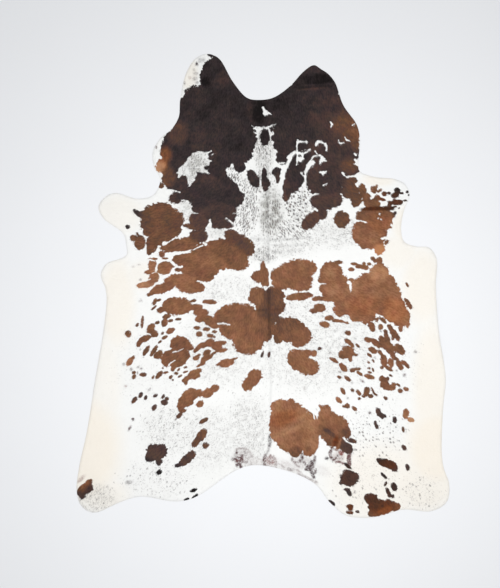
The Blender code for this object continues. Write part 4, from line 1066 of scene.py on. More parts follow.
def make_skin(settings):
    """One closed thin sheet: hair side, cut edge and suede side. The hair side's points come first."""
    sizes = settings.skin
    loop = skin_rim(sizes)
    inner, inside = inner_places(loop)
    top, top_faces = skin_top(loop, inner, inside, sizes)
    below = lattice(UNDERSIDE_STEP)
    below = below[read_chart(inside, below) > UNDERSIDE_STEP / 2.0]
    under, under_faces = filled(loop, below)
    under = np.column_stack([under, fold_heights(under) + UNDERSIDE_LIFT])
    around = np.arange(len(loop))
    ahead = np.roll(around, -1)
    wall = np.stack([around + len(top), ahead + len(top), ahead, around], 1)
    faces = [*top_faces.tolist(), *(under_faces[:, ::-1] + len(top)).tolist(), *wall.tolist()]
    mesh = bpy.data.meshes.new("hide_skin")
    mesh.from_pydata(np.concatenate([top, under]).tolist(), [], faces)
    slots = np.repeat([HAIR_SIDE, SUEDE_SIDE, CUT_EDGE], [len(top_faces), len(under_faces), len(wall)])
    mesh.polygons.foreach_set("material_index", slots)
    mesh.polygons.foreach_set("use_smooth", slots != CUT_EDGE)
    lay_out_skin(mesh, loop, len(top), slots)
    write_coat(mesh, np.concatenate([top, under])[:, :2])
    mesh.validate()
    for material in (coat_material(settings), suede_material(settings), edge_material(settings)):
        mesh.materials.append(material)
    return placed("hide_skin", mesh)


def lay_out_skin(mesh, loop, top_count, slots):
    """The skin's own map: the hair side from above, the wall folded out, the underside small beside it."""
    places = places_of(mesh)[:, :2]
    length = (CAD_BOX[1] - CAD_BOX[0]).y + 2 * WALL_ON_MAP
    low = np.array(CAD_BOX[0][:2]) - WALL_ON_MAP
    on_map = (places - low) / length
    folded = on_map.copy()
    rim = slice(top_count, top_count + len(loop))
    folded[rim] += outwards_of(loop) * WALL_ON_MAP / length
    corners = corners_of(mesh)
    of_slot = np.repeat(slots, [polygon.loop_total for polygon in mesh.polygons])
    chosen = on_map[corners]
    wall, under = of_slot == CUT_EDGE, of_slot == SUEDE_SIDE
    chosen[wall] = folded[corners[wall]]
    small = 1.0 - on_map[:, 0].max() - 2 * MAP_GAP
    chosen[under] = on_map[corners[under]] * small * UNDERSIDE_ON_MAP
    chosen[under, 0] += on_map[:, 0].max() + MAP_GAP
    lay_out(mesh, chosen)


# Nodes


def feed(tree, socket, value):
    """Links an input to an output, or sets it."""
    if isinstance(value, bpy.types.NodeSocket):
        tree.links.new(value, socket)
    elif value is not None:
        socket.default_value = value


def put(tree, kind, inputs=(), **settings):
    """A new node: its settings, and its inputs linked or set, in order or by name."""
    node = tree.nodes.new(kind)
    for name, value in settings.items():
        setattr(node, name, value)
    pairs = inputs.items() if isinstance(inputs, dict) else enumerate(inputs)
    for key, value in pairs:
        feed(tree, node.inputs[key], value)
    return node


def calc(tree, operation, *values, kind="ShaderNodeMath"):
    """The result of a Math or Vector Math node."""
    node = put(tree, kind, values, operation=operation)
    return node.outputs["Value" if operation in ("DOT_PRODUCT", "LENGTH") else 0]


def calc_vector(tree, operation, *values):
    """The result of a Vector Math node."""
    return calc(tree, operation, *values, kind="ShaderNodeVectorMath")


def between(tree, value, low, high, to_low=0.0, to_high=1.0):
    """A value carried smoothly from one range to another, and held at its ends."""
    inputs = (value, low, high, to_low, to_high)
    return put(tree, "ShaderNodeMapRange", inputs, interpolation_type="SMOOTHSTEP").outputs[0]


def mixed(tree, share, first, second, blend_type="MIX"):
    """Two colours mixed by a share."""
    inputs = {0: share, 6: first, 7: second}
    return put(tree, "ShaderNodeMix", inputs, data_type="RGBA", blend_type=blend_type).outputs[2]


def noise(tree, place, size, detail=2.0, output="Factor"):
    """Noise whose blotches are about size across, in metres."""
    inputs = {"Vector": place, "Scale": 1.0 / size, "Detail": detail}
    made = put(tree, "ShaderNodeTexNoise", inputs)
    return made.outputs[0 if output == "Factor" else 1]


def swing(tree, value, amount):
    """Noise round 0.5 as a number round 0, from -amount to amount."""
    return calc(tree, "MULTIPLY", calc(tree, "SUBTRACT", value, 0.5), 2.0 * amount)


def stirred(tree, value, noises, swings):
    """A value moved by noises, each by up to its own amount either way."""
    for name, amount in swings.items():
        value = calc(tree, "ADD", value, swing(tree, noises[name], amount))
    return value


def blended(tree, first, second, share):
    """Two numbers mixed, with a share of the first."""
    return calc(tree, "MULTIPLY_ADD", first, share, calc(tree, "MULTIPLY", second, 1.0 - share))


def three_parts(tree, vector):
    """The three numbers of a vector."""
    return put(tree, "ShaderNodeSeparateXYZ", (vector,)).outputs


def new_group(name, inputs, outputs, kind="ShaderNodeTree"):
    """A node group with named inputs and outputs, and its two end nodes."""
    group = bpy.data.node_groups.new(name, kind)
    for in_out, sockets in (("INPUT", inputs), ("OUTPUT", outputs)):
        for title, socket_type, value in sockets:
            socket_type = "NodeSocket" + socket_type
            socket = group.interface.new_socket(title, in_out=in_out, socket_type=socket_type)
            if value is not None:
                socket.default_value = value
    entry = group.nodes.new("NodeGroupInput")
    end = group.nodes.new("NodeGroupOutput")
    return group, entry.outputs, end.inputs


def use_group(tree, group, **inputs):
    """A group placed in a tree, with inputs by their names in lower case."""
    node = tree.nodes.new(tree.bl_idname.replace("Tree", "Group"))
    node.node_tree = group
    named = {socket.name.lower().replace(" ", "_"): socket for socket in node.inputs}
    for name, value in inputs.items():
        feed(tree, named[name], value)
    return node


def shared(name, make):
    """The node group of that name, made when it is first asked for."""
    return bpy.data.node_groups.get(name) or make()


def fleck_group():
    """Hair-sized flecks, one in each cell of a scatter, long along the lie of the hair."""
    group, given, result = new_group(
        "flecks along the lie",
        (
            ("Place", "Vector", None), ("Lie", "Vector", None), ("Cell", "Float", 0.01),
            ("Length", "Float", 0.005), ("Width", "Float", 0.002), ("Share", "Float", 0.5),
        ),
        (("Mask", "Float", None), ("Pick", "Float", None)),
    )
    wobble = noise(group, given["Place"], WOBBLE_BLOTCH, output="Color")
    wobble = calc_vector(group, "SUBTRACT", wobble, (0.5, 0.5, 0.5))
    wobble = put(group, "ShaderNodeVectorMath", {0: wobble, "Scale": WOBBLE}, operation="SCALE").outputs[0]
    place = calc_vector(group, "ADD", given["Place"], wobble)
    density = calc(group, "DIVIDE", 1.0, given["Cell"])
    cells = put(
        group, "ShaderNodeTexVoronoi", {"Vector": place, "Scale": density},
        voronoi_dimensions="2D", feature="F1",
    )
    off = calc_vector(group, "SUBTRACT", place, cells.outputs["Position"])
    across_lie = calc_vector(group, "CROSS_PRODUCT", given["Lie"], (0.0, 0.0, 1.0))
    longways = calc(group, "DIVIDE", calc_vector(group, "DOT_PRODUCT", off, given["Lie"]), given["Length"])
    sideways = calc(group, "DIVIDE", calc_vector(group, "DOT_PRODUCT", off, across_lie), given["Width"])
    squares = (calc(group, "POWER", way, 2.0) for way in (longways, sideways))
    out = calc(group, "SQRT", calc(group, "ADD", *squares))
    parts = put(group, "ShaderNodeSeparateColor", (cells.outputs["Color"],)).outputs
    size = calc(group, "MULTIPLY_ADD", parts[1], *FLECK_SIZE)
    body = between(group, calc(group, "DIVIDE", out, size), *FLECK_RIM)
    present = calc(group, "LESS_THAN", parts[0], given["Share"])
    group.links.new(calc(group, "MULTIPLY", body, present), result["Mask"])
    group.links.new(parts[2], result["Pick"])
    return group


def coat_group(colours):
    """The coat's colour at a place: white ground with its ticking, and the patches with their shades,
    darkened by painted shade along the creases.
    """
    group, given, result = new_group(
        "coat of a spotted hide",
        (
            ("Place", "Vector", None), ("Patch", "Vector", None), ("Marks", "Vector", None),
            ("Ticking", "Vector", None), ("Ground", "Vector", None),
            ("Lie", "Vector", None), ("Strand", "Float", 0.5),
        ),
        (("Color", "Color", None), ("Roughness", "Float", None)),
    )
    place = given["Place"]
    noises = {name: noise(group, place, size) for name, size in BLOTCHES.items()}
    noises["strand"] = given["Strand"]
    depth, tone, ragged = three_parts(group, given["Patch"])
    scallops = put(
        group, "ShaderNodeTexVoronoi", {"Vector": place, "Scale": 1.0 / SCALLOP}, voronoi_dimensions="2D"
    )
    frayed = calc(group, "MULTIPLY_ADD", scallops.outputs["Distance"], *SCALLOPS)
    frayed = stirred(group, frayed, noises, RAGGED_SWINGS)
    edge = stirred(group, calc(group, "MULTIPLY_ADD", frayed, ragged, depth), noises, EDGE_SWINGS)
    in_patch = between(group, edge, -EDGE_BLUR, EDGE_BLUR)

    flecks = shared("flecks along the lie", fleck_group)
    locks = use_group(group, flecks, place=place, lie=given["Lie"], **LOCK)
    tone = calc(group, "DIVIDE", tone, DEEPEST_SHADE)
    varied = stirred(group, swing(group, locks.outputs["Mask"], LOCK_SWING), noises, SHADE_SWINGS)
    shade = calc(group, "MULTIPLY_ADD", varied, between(group, tone, *DARK_EVENS), tone)
    ramp = put(group, "ShaderNodeValToRGB", (shade,))
    stops = ramp.color_ramp.elements
    shades = (
        (0.0, colours.tan), (0.35, colours.brown), (0.6, colours.dark_brown), (0.8, colours.bay),
        (1.0, colours.near_black), (DEEPEST_SHADE, colours.black),
    )
    while len(stops) < len(shades):
        stops.new(0.5)
    for stop, (at, colour) in zip(stops, shades):
        stop.position = at / DEEPEST_SHADE
        stop.color = (*colour, 1.0)

    warmth, crease, rust = three_parts(group, given["Marks"])
    hues = noise(group, place, HUE_BLOTCH, output="Color")
    hues = calc_vector(group, "MULTIPLY_ADD", hues, (HUE_SWING,) * 3, (LEAST_HUE,) * 3)
    patch = mixed(group, 1.0, ramp.outputs["Color"], hues, "MULTIPLY")
    patch = mixed(group, rust, patch, mixed(group, 1.0, patch, (*RUST_TINT, 1.0), "MULTIPLY"))

    cream, grizzle, veil = three_parts(group, given["Ground"])
    ticking = three_parts(group, given["Ticking"])
    white = mixed(group, cream, (*colours.white, 1.0), (*colours.cream, 1.0))
    cloudy = calc(group, "MULTIPLY", grizzle, between(group, noises["broad"], *GRIZZLE_CLOUDS))
    white = mixed(group, cloudy, white, (*colours.grizzle, 1.0))
    clumps = blended(group, noises["middling"], noises["broad"], 0.5)
    clumped = between(group, clumps, *TICKING_CLUMPS)
    for amount, cell, length, width, strength in FLECKS:
        strength = calc(group, "MULTIPLY", strength, between(group, ticking[amount], *DENSE_FLECKS))
        made = use_group(
            group, flecks, place=place, lie=given["Lie"], cell=cell, length=length, width=width,
            share=calc(group, "MULTIPLY", ticking[amount], clumped),
        )
        colour = mixed(group, made.outputs["Pick"], (*colours.fleck, 1.0), (*colours.brown_fleck, 1.0))
        white = mixed(group, calc(group, "MULTIPLY", made.outputs["Mask"], strength), white, colour)
    veil_colour = mixed(group, warmth, (*colours.veil, 1.0), (*colours.warm_veil, 1.0))
    clumps = blended(group, noises["small"], noises["middling"], 0.6)
    veiled = calc(group, "MULTIPLY", veil, between(group, clumps, *VEIL_CLUMPS))
    white = mixed(group, veiled, white, veil_colour)

    colour = mixed(group, in_patch, white, patch)
    spread = between(group, in_patch, 0.0, 1.0, STRANDS_IN_WHITE, STRANDS_IN_PATCH)
    lightness = calc(group, "SUBTRACT", given["Strand"], 0.5)
    lightness = calc(group, "MULTIPLY_ADD", lightness, spread, MEAN_STRAND)
    # painted shade: the colour is darkened along the creases
    lightness = calc(group, "MULTIPLY", lightness, calc(group, "MULTIPLY_ADD", crease, -CREASE_SHADE, 1.0))
    lightness = put(group, "ShaderNodeCombineColor", (lightness, lightness, lightness)).outputs[0]
    group.links.new(mixed(group, 1.0, colour, lightness, "MULTIPLY"), result["Color"])
    roughness = calc(group, "MULTIPLY_ADD", noises["middling"], *COAT_ROUGHNESS)
    group.links.new(roughness, result["Roughness"])
    return group


def new_material(name):
    """A material with its tree, its Principled shader and the place on the piece."""
    material = bpy.data.materials.new(name)
    material.use_nodes = True
    tree = material.node_tree
    place = put(tree, "ShaderNodeTexCoord").outputs["Object"]
    return material, tree, tree.nodes["Principled BSDF"], place


def read_attribute(tree, name, output="Vector"):
    """A mesh attribute's value in a material."""
    return put(tree, "ShaderNodeAttribute", attribute_name=name).outputs[output]


def dress(tree, shader, colour, roughness, specular):
    """Gives a shader its colour, roughness and specular level."""
    for name, value in (("Base Color", colour), ("Roughness", roughness), ("Specular IOR Level", specular)):
        feed(tree, shader.inputs[name], value)


def emboss(tree, shader, height, strength, distance):
    """Gives a shader a fine relief."""
    bump = put(tree, "ShaderNodeBump", {"Strength": strength, "Distance": distance, "Height": height})
    tree.links.new(bump.outputs["Normal"], shader.inputs["Normal"])


def coat_on(tree, shader, place, settings, strand):
    """Joins the coat's colour and roughness to a shader."""
    group = shared("coat of a spotted hide", lambda: coat_group(settings.colours))
    carried = {name: read_attribute(tree, name) for name in (*CHANNELS, "lie")}
    coat = use_group(tree, group, place=place, strand=strand, **carried)
    dress(tree, shader, coat.outputs["Color"], coat.outputs["Roughness"], specular=0.12)


def coat_material(settings):
    """The hair seen as one surface, with the fine ridges of the lying hair."""
    material, tree, shader, place = new_material("coat")
    coat_on(tree, shader, place, settings, 0.5)
    flecks = shared("flecks along the lie", fleck_group)
    ridges = use_group(tree, flecks, place=place, lie=read_attribute(tree, "lie"), **RIDGE)
    emboss(tree, shader, ridges.outputs["Mask"], strength=0.5, distance=0.0006)
    return material


def hair_material(settings):
    """The coat's colours on single hairs."""
    material, tree, shader, place = new_material("coat hair")
    coat_on(tree, shader, place, settings, read_attribute(tree, "strand", "Fac"))
    return material


def grain_group():
    """Fine leather grain: its height, and a mask of its darker pits."""
    group, given, result = new_group(
        "leather grain",
        (("Place", "Vector", None), ("Size", "Float", 0.001)),
        (("Height", "Float", None), ("Pits", "Float", None)),
    )
    density = calc(group, "DIVIDE", 1.0, given["Size"])
    cells = put(group, "ShaderNodeTexVoronoi", {"Vector": given["Place"], "Scale": density})
    cloud = put(group, "ShaderNodeTexNoise", {"Vector": given["Place"], "Scale": 60.0, "Detail": 4.0})
    clouds = calc(group, "MULTIPLY", cloud.outputs[0], CLOUD_IN_GRAIN)
    group.links.new(calc(group, "ADD", cells.outputs["Distance"], clouds), result["Height"])
    group.links.new(between(group, cloud.outputs[0], *PIT_CLOUDS), result["Pits"])
    return group


def leather_material(name, colour, pit_colour, grain_size, grain_height):
    """Bare leather: mottled, dull and finely grained."""
    material, tree, shader, place = new_material(name)
    grain = use_group(tree, shared("leather grain", grain_group), place=place, size=grain_size)
    mottled = mixed(tree, grain.outputs["Pits"], (*colour, 1.0), (*pit_colour, 1.0))
    dress(tree, shader, mottled, roughness=0.85, specular=0.2)
    emboss(tree, shader, grain.outputs["Height"], strength=0.6, distance=grain_height)
    return material


def suede_material(settings):
    """The flesh side."""
    pair = settings.colours.suede, settings.colours.suede_pits
    return leather_material("suede underside", *pair, grain_size=0.0012, grain_height=0.0004)


def edge_material(settings):
    """The cut edge."""
    pair = settings.colours.edge, settings.colours.edge_pits
    return leather_material("cut leather edge", *pair, grain_size=0.0007, grain_height=0.0002)


# The hair


def hair_tree():
    """Blades of hair scattered over one quarter of the hide, each lying along the hair's lie."""
    group, given, result = new_group(
        "lying hair",
        (
            ("Skin", "Geometry", None), ("Quarter", "Int", 0), ("Density", "Float", 60000.0),
            ("Length", "Float", 0.012), ("Width", "Float", 0.0016), ("Thickness", "Float", 0.0006),
            ("Lift", "Float", 0.15), ("Stray", "Float", 0.3), ("Seed", "Int", 7),
            ("Material", "Material", None),
        ),
        (("Hair", "Geometry", None),),
        "GeometryNodeTree",
    )
    group.is_modifier = True
    quarter = put(group, "GeometryNodeInputNamedAttribute", {"Name": "quarter"}, data_type="INT")
    here = put(
        group, "FunctionNodeCompare", {2: quarter.outputs["Attribute"], 3: given["Quarter"]},
        data_type="INT", operation="EQUAL",
    )
    roots = put(
        group, "GeometryNodeDistributePointsOnFaces",
        {
            "Mesh": given["Skin"], "Selection": here.outputs["Result"], "Density": given["Density"],
            "Seed": given["Seed"],
        },
        distribute_method="RANDOM",
    )
    lie = put(group, "GeometryNodeInputNamedAttribute", {"Name": "lie"}, data_type="FLOAT_VECTOR")
    normal = put(
        group, "GeometryNodeCaptureAttribute", {"Geometry": roots.outputs["Points"]}, domain="POINT"
    )
    normal.capture_items.new("VECTOR", "Normal")
    group.links.new(roots.outputs["Normal"], normal.inputs["Normal"])
    up = normal.outputs["Normal"]

    def random(low, high, pick):
        """A number for each hair, evenly spread from low to high."""
        seed = put(group, "FunctionNodeIntegerMath", (given["Seed"], pick), operation="ADD")
        inputs = {2: low, 3: high, "Seed": seed.outputs[0]}
        return put(group, "FunctionNodeRandomValue", inputs, data_type="FLOAT").outputs[1]

    astray = random(calc(group, "MULTIPLY", given["Stray"], -1.0), given["Stray"], STRAY_PICK)
    turned = put(
        group, "ShaderNodeVectorRotate", {"Vector": lie.outputs["Attribute"], "Axis": up, "Angle": astray},
        rotation_type="AXIS_ANGLE",
    )
    side = calc_vector(group, "CROSS_PRODUCT", up, turned.outputs[0])
    ahead = calc_vector(group, "CROSS_PRODUCT", side, up)
    lift = random(0.0, calc(group, "MULTIPLY", given["Lift"], -2.0), LIFT_PICK)
    raised = put(
        group, "ShaderNodeVectorRotate", {"Vector": ahead, "Axis": side, "Angle": lift},
        rotation_type="AXIS_ANGLE",
    )
    turn = put(
        group, "FunctionNodeAxesToRotation", (raised.outputs[0], up), primary_axis="Z", secondary_axis="Y"
    )
    blade = put(
        group, "GeometryNodeMeshCone",
        {"Vertices": BLADE_SIDES, "Radius Top": 0.0, "Radius Bottom": 0.5, "Depth": 1.0},
        fill_type="NGON",
    )
    ridged = put(
        group, "GeometryNodeTransform",
        {"Geometry": blade.outputs["Mesh"], "Rotation": (0.0, 0.0, math.pi / 2.0)},
    )
    room = put(group, "GeometryNodeInputNamedAttribute", {"Name": "room"}, data_type="FLOAT")
    size = calc(group, "MULTIPLY", random(SHORTER, LONGER, LENGTH_PICK), room.outputs["Attribute"])
    scale = put(
        group, "ShaderNodeCombineXYZ",
        (given["Width"], given["Thickness"], calc(group, "MULTIPLY", given["Length"], size)),
    )
    blades = put(
        group, "GeometryNodeInstanceOnPoints",
        {
            "Points": normal.outputs["Geometry"], "Instance": ridged.outputs[0],
            "Rotation": turn.outputs[0], "Scale": scale.outputs[0],
        },
    )
    marked = put(
        group, "GeometryNodeStoreNamedAttribute",
        {"Geometry": blades.outputs[0], "Name": "strand"}, data_type="FLOAT", domain="INSTANCE",
    )
    group.links.new(random(0.0, 1.0, STRAND_PICK), marked.inputs["Value"])
    real = put(group, "GeometryNodeRealizeInstances", {"Geometry": marked.outputs[0]})
    dressed = put(
        group, "GeometryNodeSetMaterial", {"Geometry": real.outputs[0], "Material": given["Material"]}
    )
    group.links.new(dressed.outputs[0], result["Hair"])
    return group


def quarter_of(centres, areas):
    """Which quarter each face is in, from the neck to the tail, so that the quarters are equally large."""
    order = np.argsort(-centres[:, 1])
    passed = np.cumsum(areas[order]) / areas.sum()
    quarters = np.empty(len(centres), int)
    quarters[order] = np.minimum((passed * len(HAIR_PIECES)).astype(int), len(HAIR_PIECES) - 1)
    return quarters


def hair_guide(skin, sizes):
    """The skin's hair side alone, with what the hair's tree reads. Also its area."""
    faces = np.array([face.vertices[:] for face in skin.data.polygons if face.material_index == HAIR_SIDE])
    top = places_of(skin.data)[: faces.max() + 1]
    mesh = bpy.data.meshes.new("hair_guide")
    mesh.from_pydata(top.tolist(), [], faces.tolist())
    mesh.attributes.new("lie", "FLOAT_VECTOR", "POINT").data.foreach_set("vector", lie_at(top).ravel())
    away = read_chart(rim_chart(skin_rim(sizes)), top)
    room = np.clip(SHORTEST_HAIR + (1.0 - SHORTEST_HAIR) * away / TRIMMED_BAND, SHORTEST_HAIR, 1.0)
    mesh.attributes.new("room", "FLOAT", "POINT").data.foreach_set("value", room)
    corners = top[faces]
    crossed = np.cross(corners[:, 1] - corners[:, 0], corners[:, 2] - corners[:, 0])
    areas = np.linalg.norm(crossed, axis=1) / 2.0
    quarters = quarter_of(corners.mean(1), areas)
    mesh.attributes.new("quarter", "INT", "FACE").data.foreach_set("value", quarters)
    return placed("hair_guide", mesh), areas.sum()


def grown(guide, tree, values):
    """The mesh that a Geometry Nodes tree makes on the guide, with its inputs set by name."""
    modifier = guide.modifiers.new("hair", "NODES")
    modifier.node_group = tree
    for socket in tree.interface.items_tree:
        if socket.in_out == "INPUT" and socket.name in values:
            modifier[socket.identifier] = values[socket.name]
    evaluated = guide.evaluated_get(bpy.context.evaluated_depsgraph_get())
    mesh = bpy.data.meshes.new_from_object(evaluated)
    guide.modifiers.remove(modifier)
    return mesh


def finish_hair(mesh):
    """Colours each blade by the place of its middle, and lays the piece's own map out from above."""
    count = BLADE_SIDES + 1
    places = places_of(mesh)
    if len(places) % count:
        raise RuntimeError("a blade of hair hasn't the points it should have")
    middles = places.reshape(-1, count, 3).mean(1)
    write_coat(mesh, np.repeat(middles, count, 0))
    low = places.min(0)[:2]
    size = np.ptp(places[:, :2], axis=0).max()
    for layer in list(mesh.uv_layers):
        mesh.uv_layers.remove(layer)
    lay_out(mesh, ((places[:, :2] - low) / size)[corners_of(mesh)])


def make_hair(settings, guide, area):
    """The four pieces of hair."""
    sizes = settings.hair
    tree = hair_tree()
    material = hair_material(settings)
    pieces = []
    for quarter, name in enumerate(HAIR_PIECES):
        mesh = grown(
            guide, tree,
            {
                "Quarter": quarter, "Density": sizes.count / area, "Length": sizes.length,
                "Width": sizes.width, "Thickness": sizes.thickness, "Lift": sizes.lift,
                "Stray": sizes.stray, "Seed": sizes.seed + QUARTER_SEEDS * quarter, "Material": material,
            },
        )
        mesh.name = name
        finish_hair(mesh)
        pieces.append(placed(name, mesh))
    return pieces


# Settings


def length(name, description, default, low, high):
    """A length setting, in metres."""
    return FloatProperty(
        name=name, description=description, default=default, min=low, max=high, unit="LENGTH", precision=4
    )


def ratio(name, description, default, low):
    """A setting that goes up to 1."""
    return FloatProperty(name=name, description=description, default=default, min=low, max=1.0)


def angle(name, description, default, high):
    """An angle setting from 0 up, given in degrees."""
    return FloatProperty(
        name=name, description=description, default=math.radians(default), min=0.0, max=math.radians(high),
        subtype="ANGLE",
    )


def colour(name, description, red, green, blue, light=LIGHT_ON_HAIR):
    """A colour setting, given as it looks on a screen under that light."""
    seen = [min(1.0, linear(value / 255.0) / light) for value in (red, green, blue)]
    return FloatVectorProperty(
        name=name, description=description, default=seen, min=0.0, max=1.0, size=3, subtype="COLOR"
    )


def linear(value):
    """A screen value as light, by the usual curve of screens."""
    return value / 12.92 if value <= 0.04045 else ((value + 0.055) / 1.055) ** 2.4


class CowhideSkinSettings(bpy.types.PropertyGroup):
    """Sizes of the leather sheet."""

    thickness: length("Thickness", "Leather with the packed lower part of its hair", 0.0024, 0.001, 0.005)
    rim_share: ratio("Rim share", "Thickness at the cut edge, as a share of the full one", 0.3, 0.2)
    rim_width: length("Rim width", "Band over which the sheet thins to its cut edge", 0.012, 0.002, 0.05)
    rim_inset: length("Rim inset", "How far the cut edge lies inside the rug's outline", 0.0006, 0.0, 0.02)
    hair_overhang: length(
        "Hair overhang", "How far hair that grows outwards reaches past the cut edge", 0.0015, 0.0, 0.02
    )


class CowhideHairSettings(bpy.types.PropertyGroup):
    """Sizes of the hair."""

    length: length("Length", "Length of the part of a hair that shows", 0.0115, 0.003, 0.03)
    width: length("Width", "Width of a lock of hair at its root", 0.0019, 0.0003, 0.005)
    thickness: length("Thickness", "Thickness of a lock of hair at its root", 0.0006, 0.0002, 0.003)
    count: IntProperty(
        name="Locks", description="Locks of hair on the whole rug", default=184000, min=1000, max=195000
    )
    lift: angle("Lift", "Mean angle between the hair and the skin", 5.0, 40.0)
    stray: angle("Stray", "How far a hair may turn from its neighbours", 20.0, 90.0)
    seed: IntProperty(name="Seed", description="Start of the scatter's random numbers", default=7, min=0)


class CowhideColourSettings(bpy.types.PropertyGroup):
    """Colours of the coat and the leather."""

    white: colour("White", "Ground of the coat", 250, 250, 248, LIGHT_ON_WHITE)
    cream: colour("Cream", "Ground towards the flanks and legs", 252, 243, 228, LIGHT_ON_WHITE)
    grizzle: colour("Grizzle", "Ground where dark hairs are thick in it", 168, 166, 156)
    tan: colour("Tan", "Lightest shade of the patches", 208, 154, 114)
    brown: colour("Brown", "Second shade of the patches", 161, 109, 78)
    dark_brown: colour("Dark brown", "Third shade of the patches", 121, 83, 61)
    bay: colour("Bay", "Fourth shade of the patches", 94, 70, 63)
    near_black: colour("Near black", "Fifth shade of the patches", 61, 51, 52)
    black: colour("Black", "Darkest shade of the patches", 24, 17, 17)
    fleck: colour("Fleck", "Dark hairs in the white", 86, 86, 90)
    brown_fleck: colour("Brown fleck", "Browner hairs in the white", 126, 112, 106)
    veil: colour("Veil", "Thin grey hair", 82, 70, 74)
    warm_veil: colour("Warm veil", "Thin brown hair", 162, 110, 104)
    suede: colour("Suede", "Flesh side", 205, 190, 170, LIGHT_ON_BARE)
    suede_pits: colour("Suede pits", "Darker mottling of the flesh side", 176, 158, 138, LIGHT_ON_BARE)
    edge: colour("Edge", "Cut edge of the leather", 248, 244, 236, LIGHT_ON_BARE)
    edge_pits: colour("Edge pits", "Darker mottling of the cut edge", 232, 224, 212, LIGHT_ON_BARE)
    floor: colour("Floor", "Plain pale floor", 247, 248, 250, LIGHT_ON_BARE)


class CowhideStageSettings(bpy.types.PropertyGroup):
    """Floor, light and camera."""

    camera_height: length("Camera height", "Height of the camera over the floor", 2.6, 1.0, 20.0)
    light_height: length("Light height", "Height of the soft light over the floor", 2.8, 1.0, 20.0)
    light_size: length("Light size", "Side of the soft light", 1.4, 0.1, 6.0)
    light_share: ratio("Light share", "Share of the floor's light that the soft light gives", 0.48, 0.0)


class CowhideRugSettings(bpy.types.PropertyGroup):
    """Everything that can be changed about the rug."""

    skin: PointerProperty(type=CowhideSkinSettings)
    hair: PointerProperty(type=CowhideHairSettings)
    colours: PointerProperty(type=CowhideColourSettings)
    stage: PointerProperty(type=CowhideStageSettings)


# The stage


def floor_material(settings):
    """Smooth pale boards without joints, very slightly clouded."""
    material, tree, shader, place = new_material("pale floor")
    cloud = noise(tree, place, size=0.4, detail=3.0)
    base = settings.colours.floor
    shaded = [value * FLOOR_CLOUDS for value in base]
    clouded = mixed(tree, cloud, (*base, 1.0), (*shaded, 1.0))
    dress(tree, shader, clouded, roughness=0.7, specular=0.2)
    return material


def make_floor(settings):
    """A large level floor."""
    mesh = bpy.data.meshes.new("floor")
    half = FLOOR_SIZE / 2.0
    corners = [(-half, -half, 0), (half, -half, 0), (half, half, 0), (-half, half, 0)]
    mesh.from_pydata(corners, [], [(0, 1, 2, 3)])
    mesh.materials.append(floor_material(settings))
    floor = placed("floor", mesh)
    floor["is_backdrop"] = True


def make_light(sizes):
    """Even light from all round, and one soft light overhead."""
    scene = bpy.context.scene
    world = bpy.data.worlds.new("studio")
    world.use_nodes = True
    scene.world = world
    background = world.node_tree.nodes["Background"]
    background.inputs["Color"].default_value = (*SKY, 1.0)
    background.inputs["Strength"].default_value = LIGHT_ON_FLOOR * (1.0 - sizes.light_share)
    lamp = bpy.data.lights.new("soft light", "AREA")
    lamp.shape = "SQUARE"
    lamp.size = sizes.light_size
    lamp.energy = LIGHT_ON_FLOOR * sizes.light_share * math.pi**2 * sizes.light_height**2
    placed("soft light", lamp).location = (*LIGHT_PLACE, sizes.light_height)


def make_camera(sizes):
    """A camera looking straight down, with the neck at the top of the picture."""
    lens = bpy.data.cameras.new("camera")
    lens.sensor_width = SENSOR
    lens.lens = SENSOR * sizes.camera_height / (PICTURE_LENGTH * SCALE)
    camera = placed("camera", lens)
    camera.location = (PICTURE_MIDDLE[0] * SCALE, PICTURE_MIDDLE[1] * SCALE, sizes.camera_height)
    bpy.context.scene.camera = camera


# Operators and panel


class COWHIDE_OT_add_skin(bpy.types.Operator):
    """Makes the hide's leather, which stands for the whole solid"""

    bl_idname = "cowhide.add_skin"
    bl_label = "Add Skin"

    def execute(self, context):
        skin = make_skin(context.scene.cowhide_rug)
        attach(skin, "root")
        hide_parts("hide")
        return {"FINISHED"}


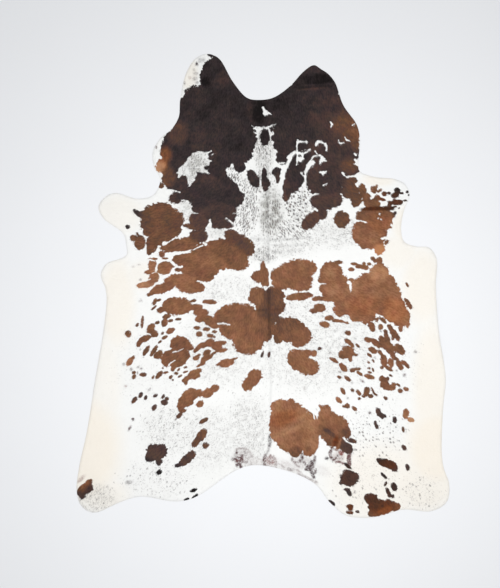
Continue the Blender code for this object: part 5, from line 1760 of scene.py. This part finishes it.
class COWHIDE_OT_add_hair(bpy.types.Operator):
    """Makes the four pieces of hair on the skin, their count spread over the area of the sheet they lie on
    """

    bl_idname = "cowhide.add_hair"
    bl_label = "Add Hair"

    def execute(self, context):
        skin = bpy.data.objects["hide_skin"]
        guide, area = hair_guide(skin, context.scene.cowhide_rug.skin)
        hair = make_hair(context.scene.cowhide_rug, guide, area)
        bpy.data.objects.remove(guide)
        for piece in hair:
            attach(piece, "root")
        return {"FINISHED"}


class COWHIDE_OT_set_stage(bpy.types.Operator):
    """Makes the floor, the light and the camera"""

    bl_idname = "cowhide.set_stage"
    bl_label = "Set Stage"

    def execute(self, context):
        settings = context.scene.cowhide_rug
        make_floor(settings)
        make_light(settings.stage)
        make_camera(settings.stage)
        context.scene.view_settings.view_transform = "Standard"
        return {"FINISHED"}


class COWHIDE_PT_rug(bpy.types.Panel):
    """Lists the rug's operators and settings"""

    bl_idname = "COWHIDE_PT_rug"
    bl_label = "Cowhide Rug"
    bl_space_type = "VIEW_3D"
    bl_region_type = "UI"
    bl_category = "Cowhide Rug"

    def draw(self, context):
        settings = context.scene.cowhide_rug
        for operator in OPERATORS:
            self.layout.operator(operator.bl_idname)
        for group in (settings.skin, settings.hair, settings.colours, settings.stage):
            box = self.layout.box()
            for name in group.__annotations__:
                box.prop(group, name)


OPERATORS = (COWHIDE_OT_add_skin, COWHIDE_OT_add_hair, COWHIDE_OT_set_stage)
CLASSES = (
    CowhideSkinSettings, CowhideHairSettings, CowhideColourSettings, CowhideStageSettings,
    CowhideRugSettings, *OPERATORS, COWHIDE_PT_rug,
)


def register():
    for one in CLASSES:
        bpy.utils.register_class(one)
    bpy.types.Scene.cowhide_rug = PointerProperty(type=CowhideRugSettings)


def unregister():
    del bpy.types.Scene.cowhide_rug
    for one in reversed(CLASSES):
        bpy.utils.unregister_class(one)


def main():
    """Makes the rug and its stage."""
    register()
    bpy.ops.cowhide.add_skin()
    bpy.ops.cowhide.add_hair()
    bpy.ops.cowhide.set_stage()
    boxes = {"cad": CAD_BOX, "visual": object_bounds()}
    {name: [list(corner) for corner in box] for name, box in boxes.items()}


if __name__ == "__main__":
    main()
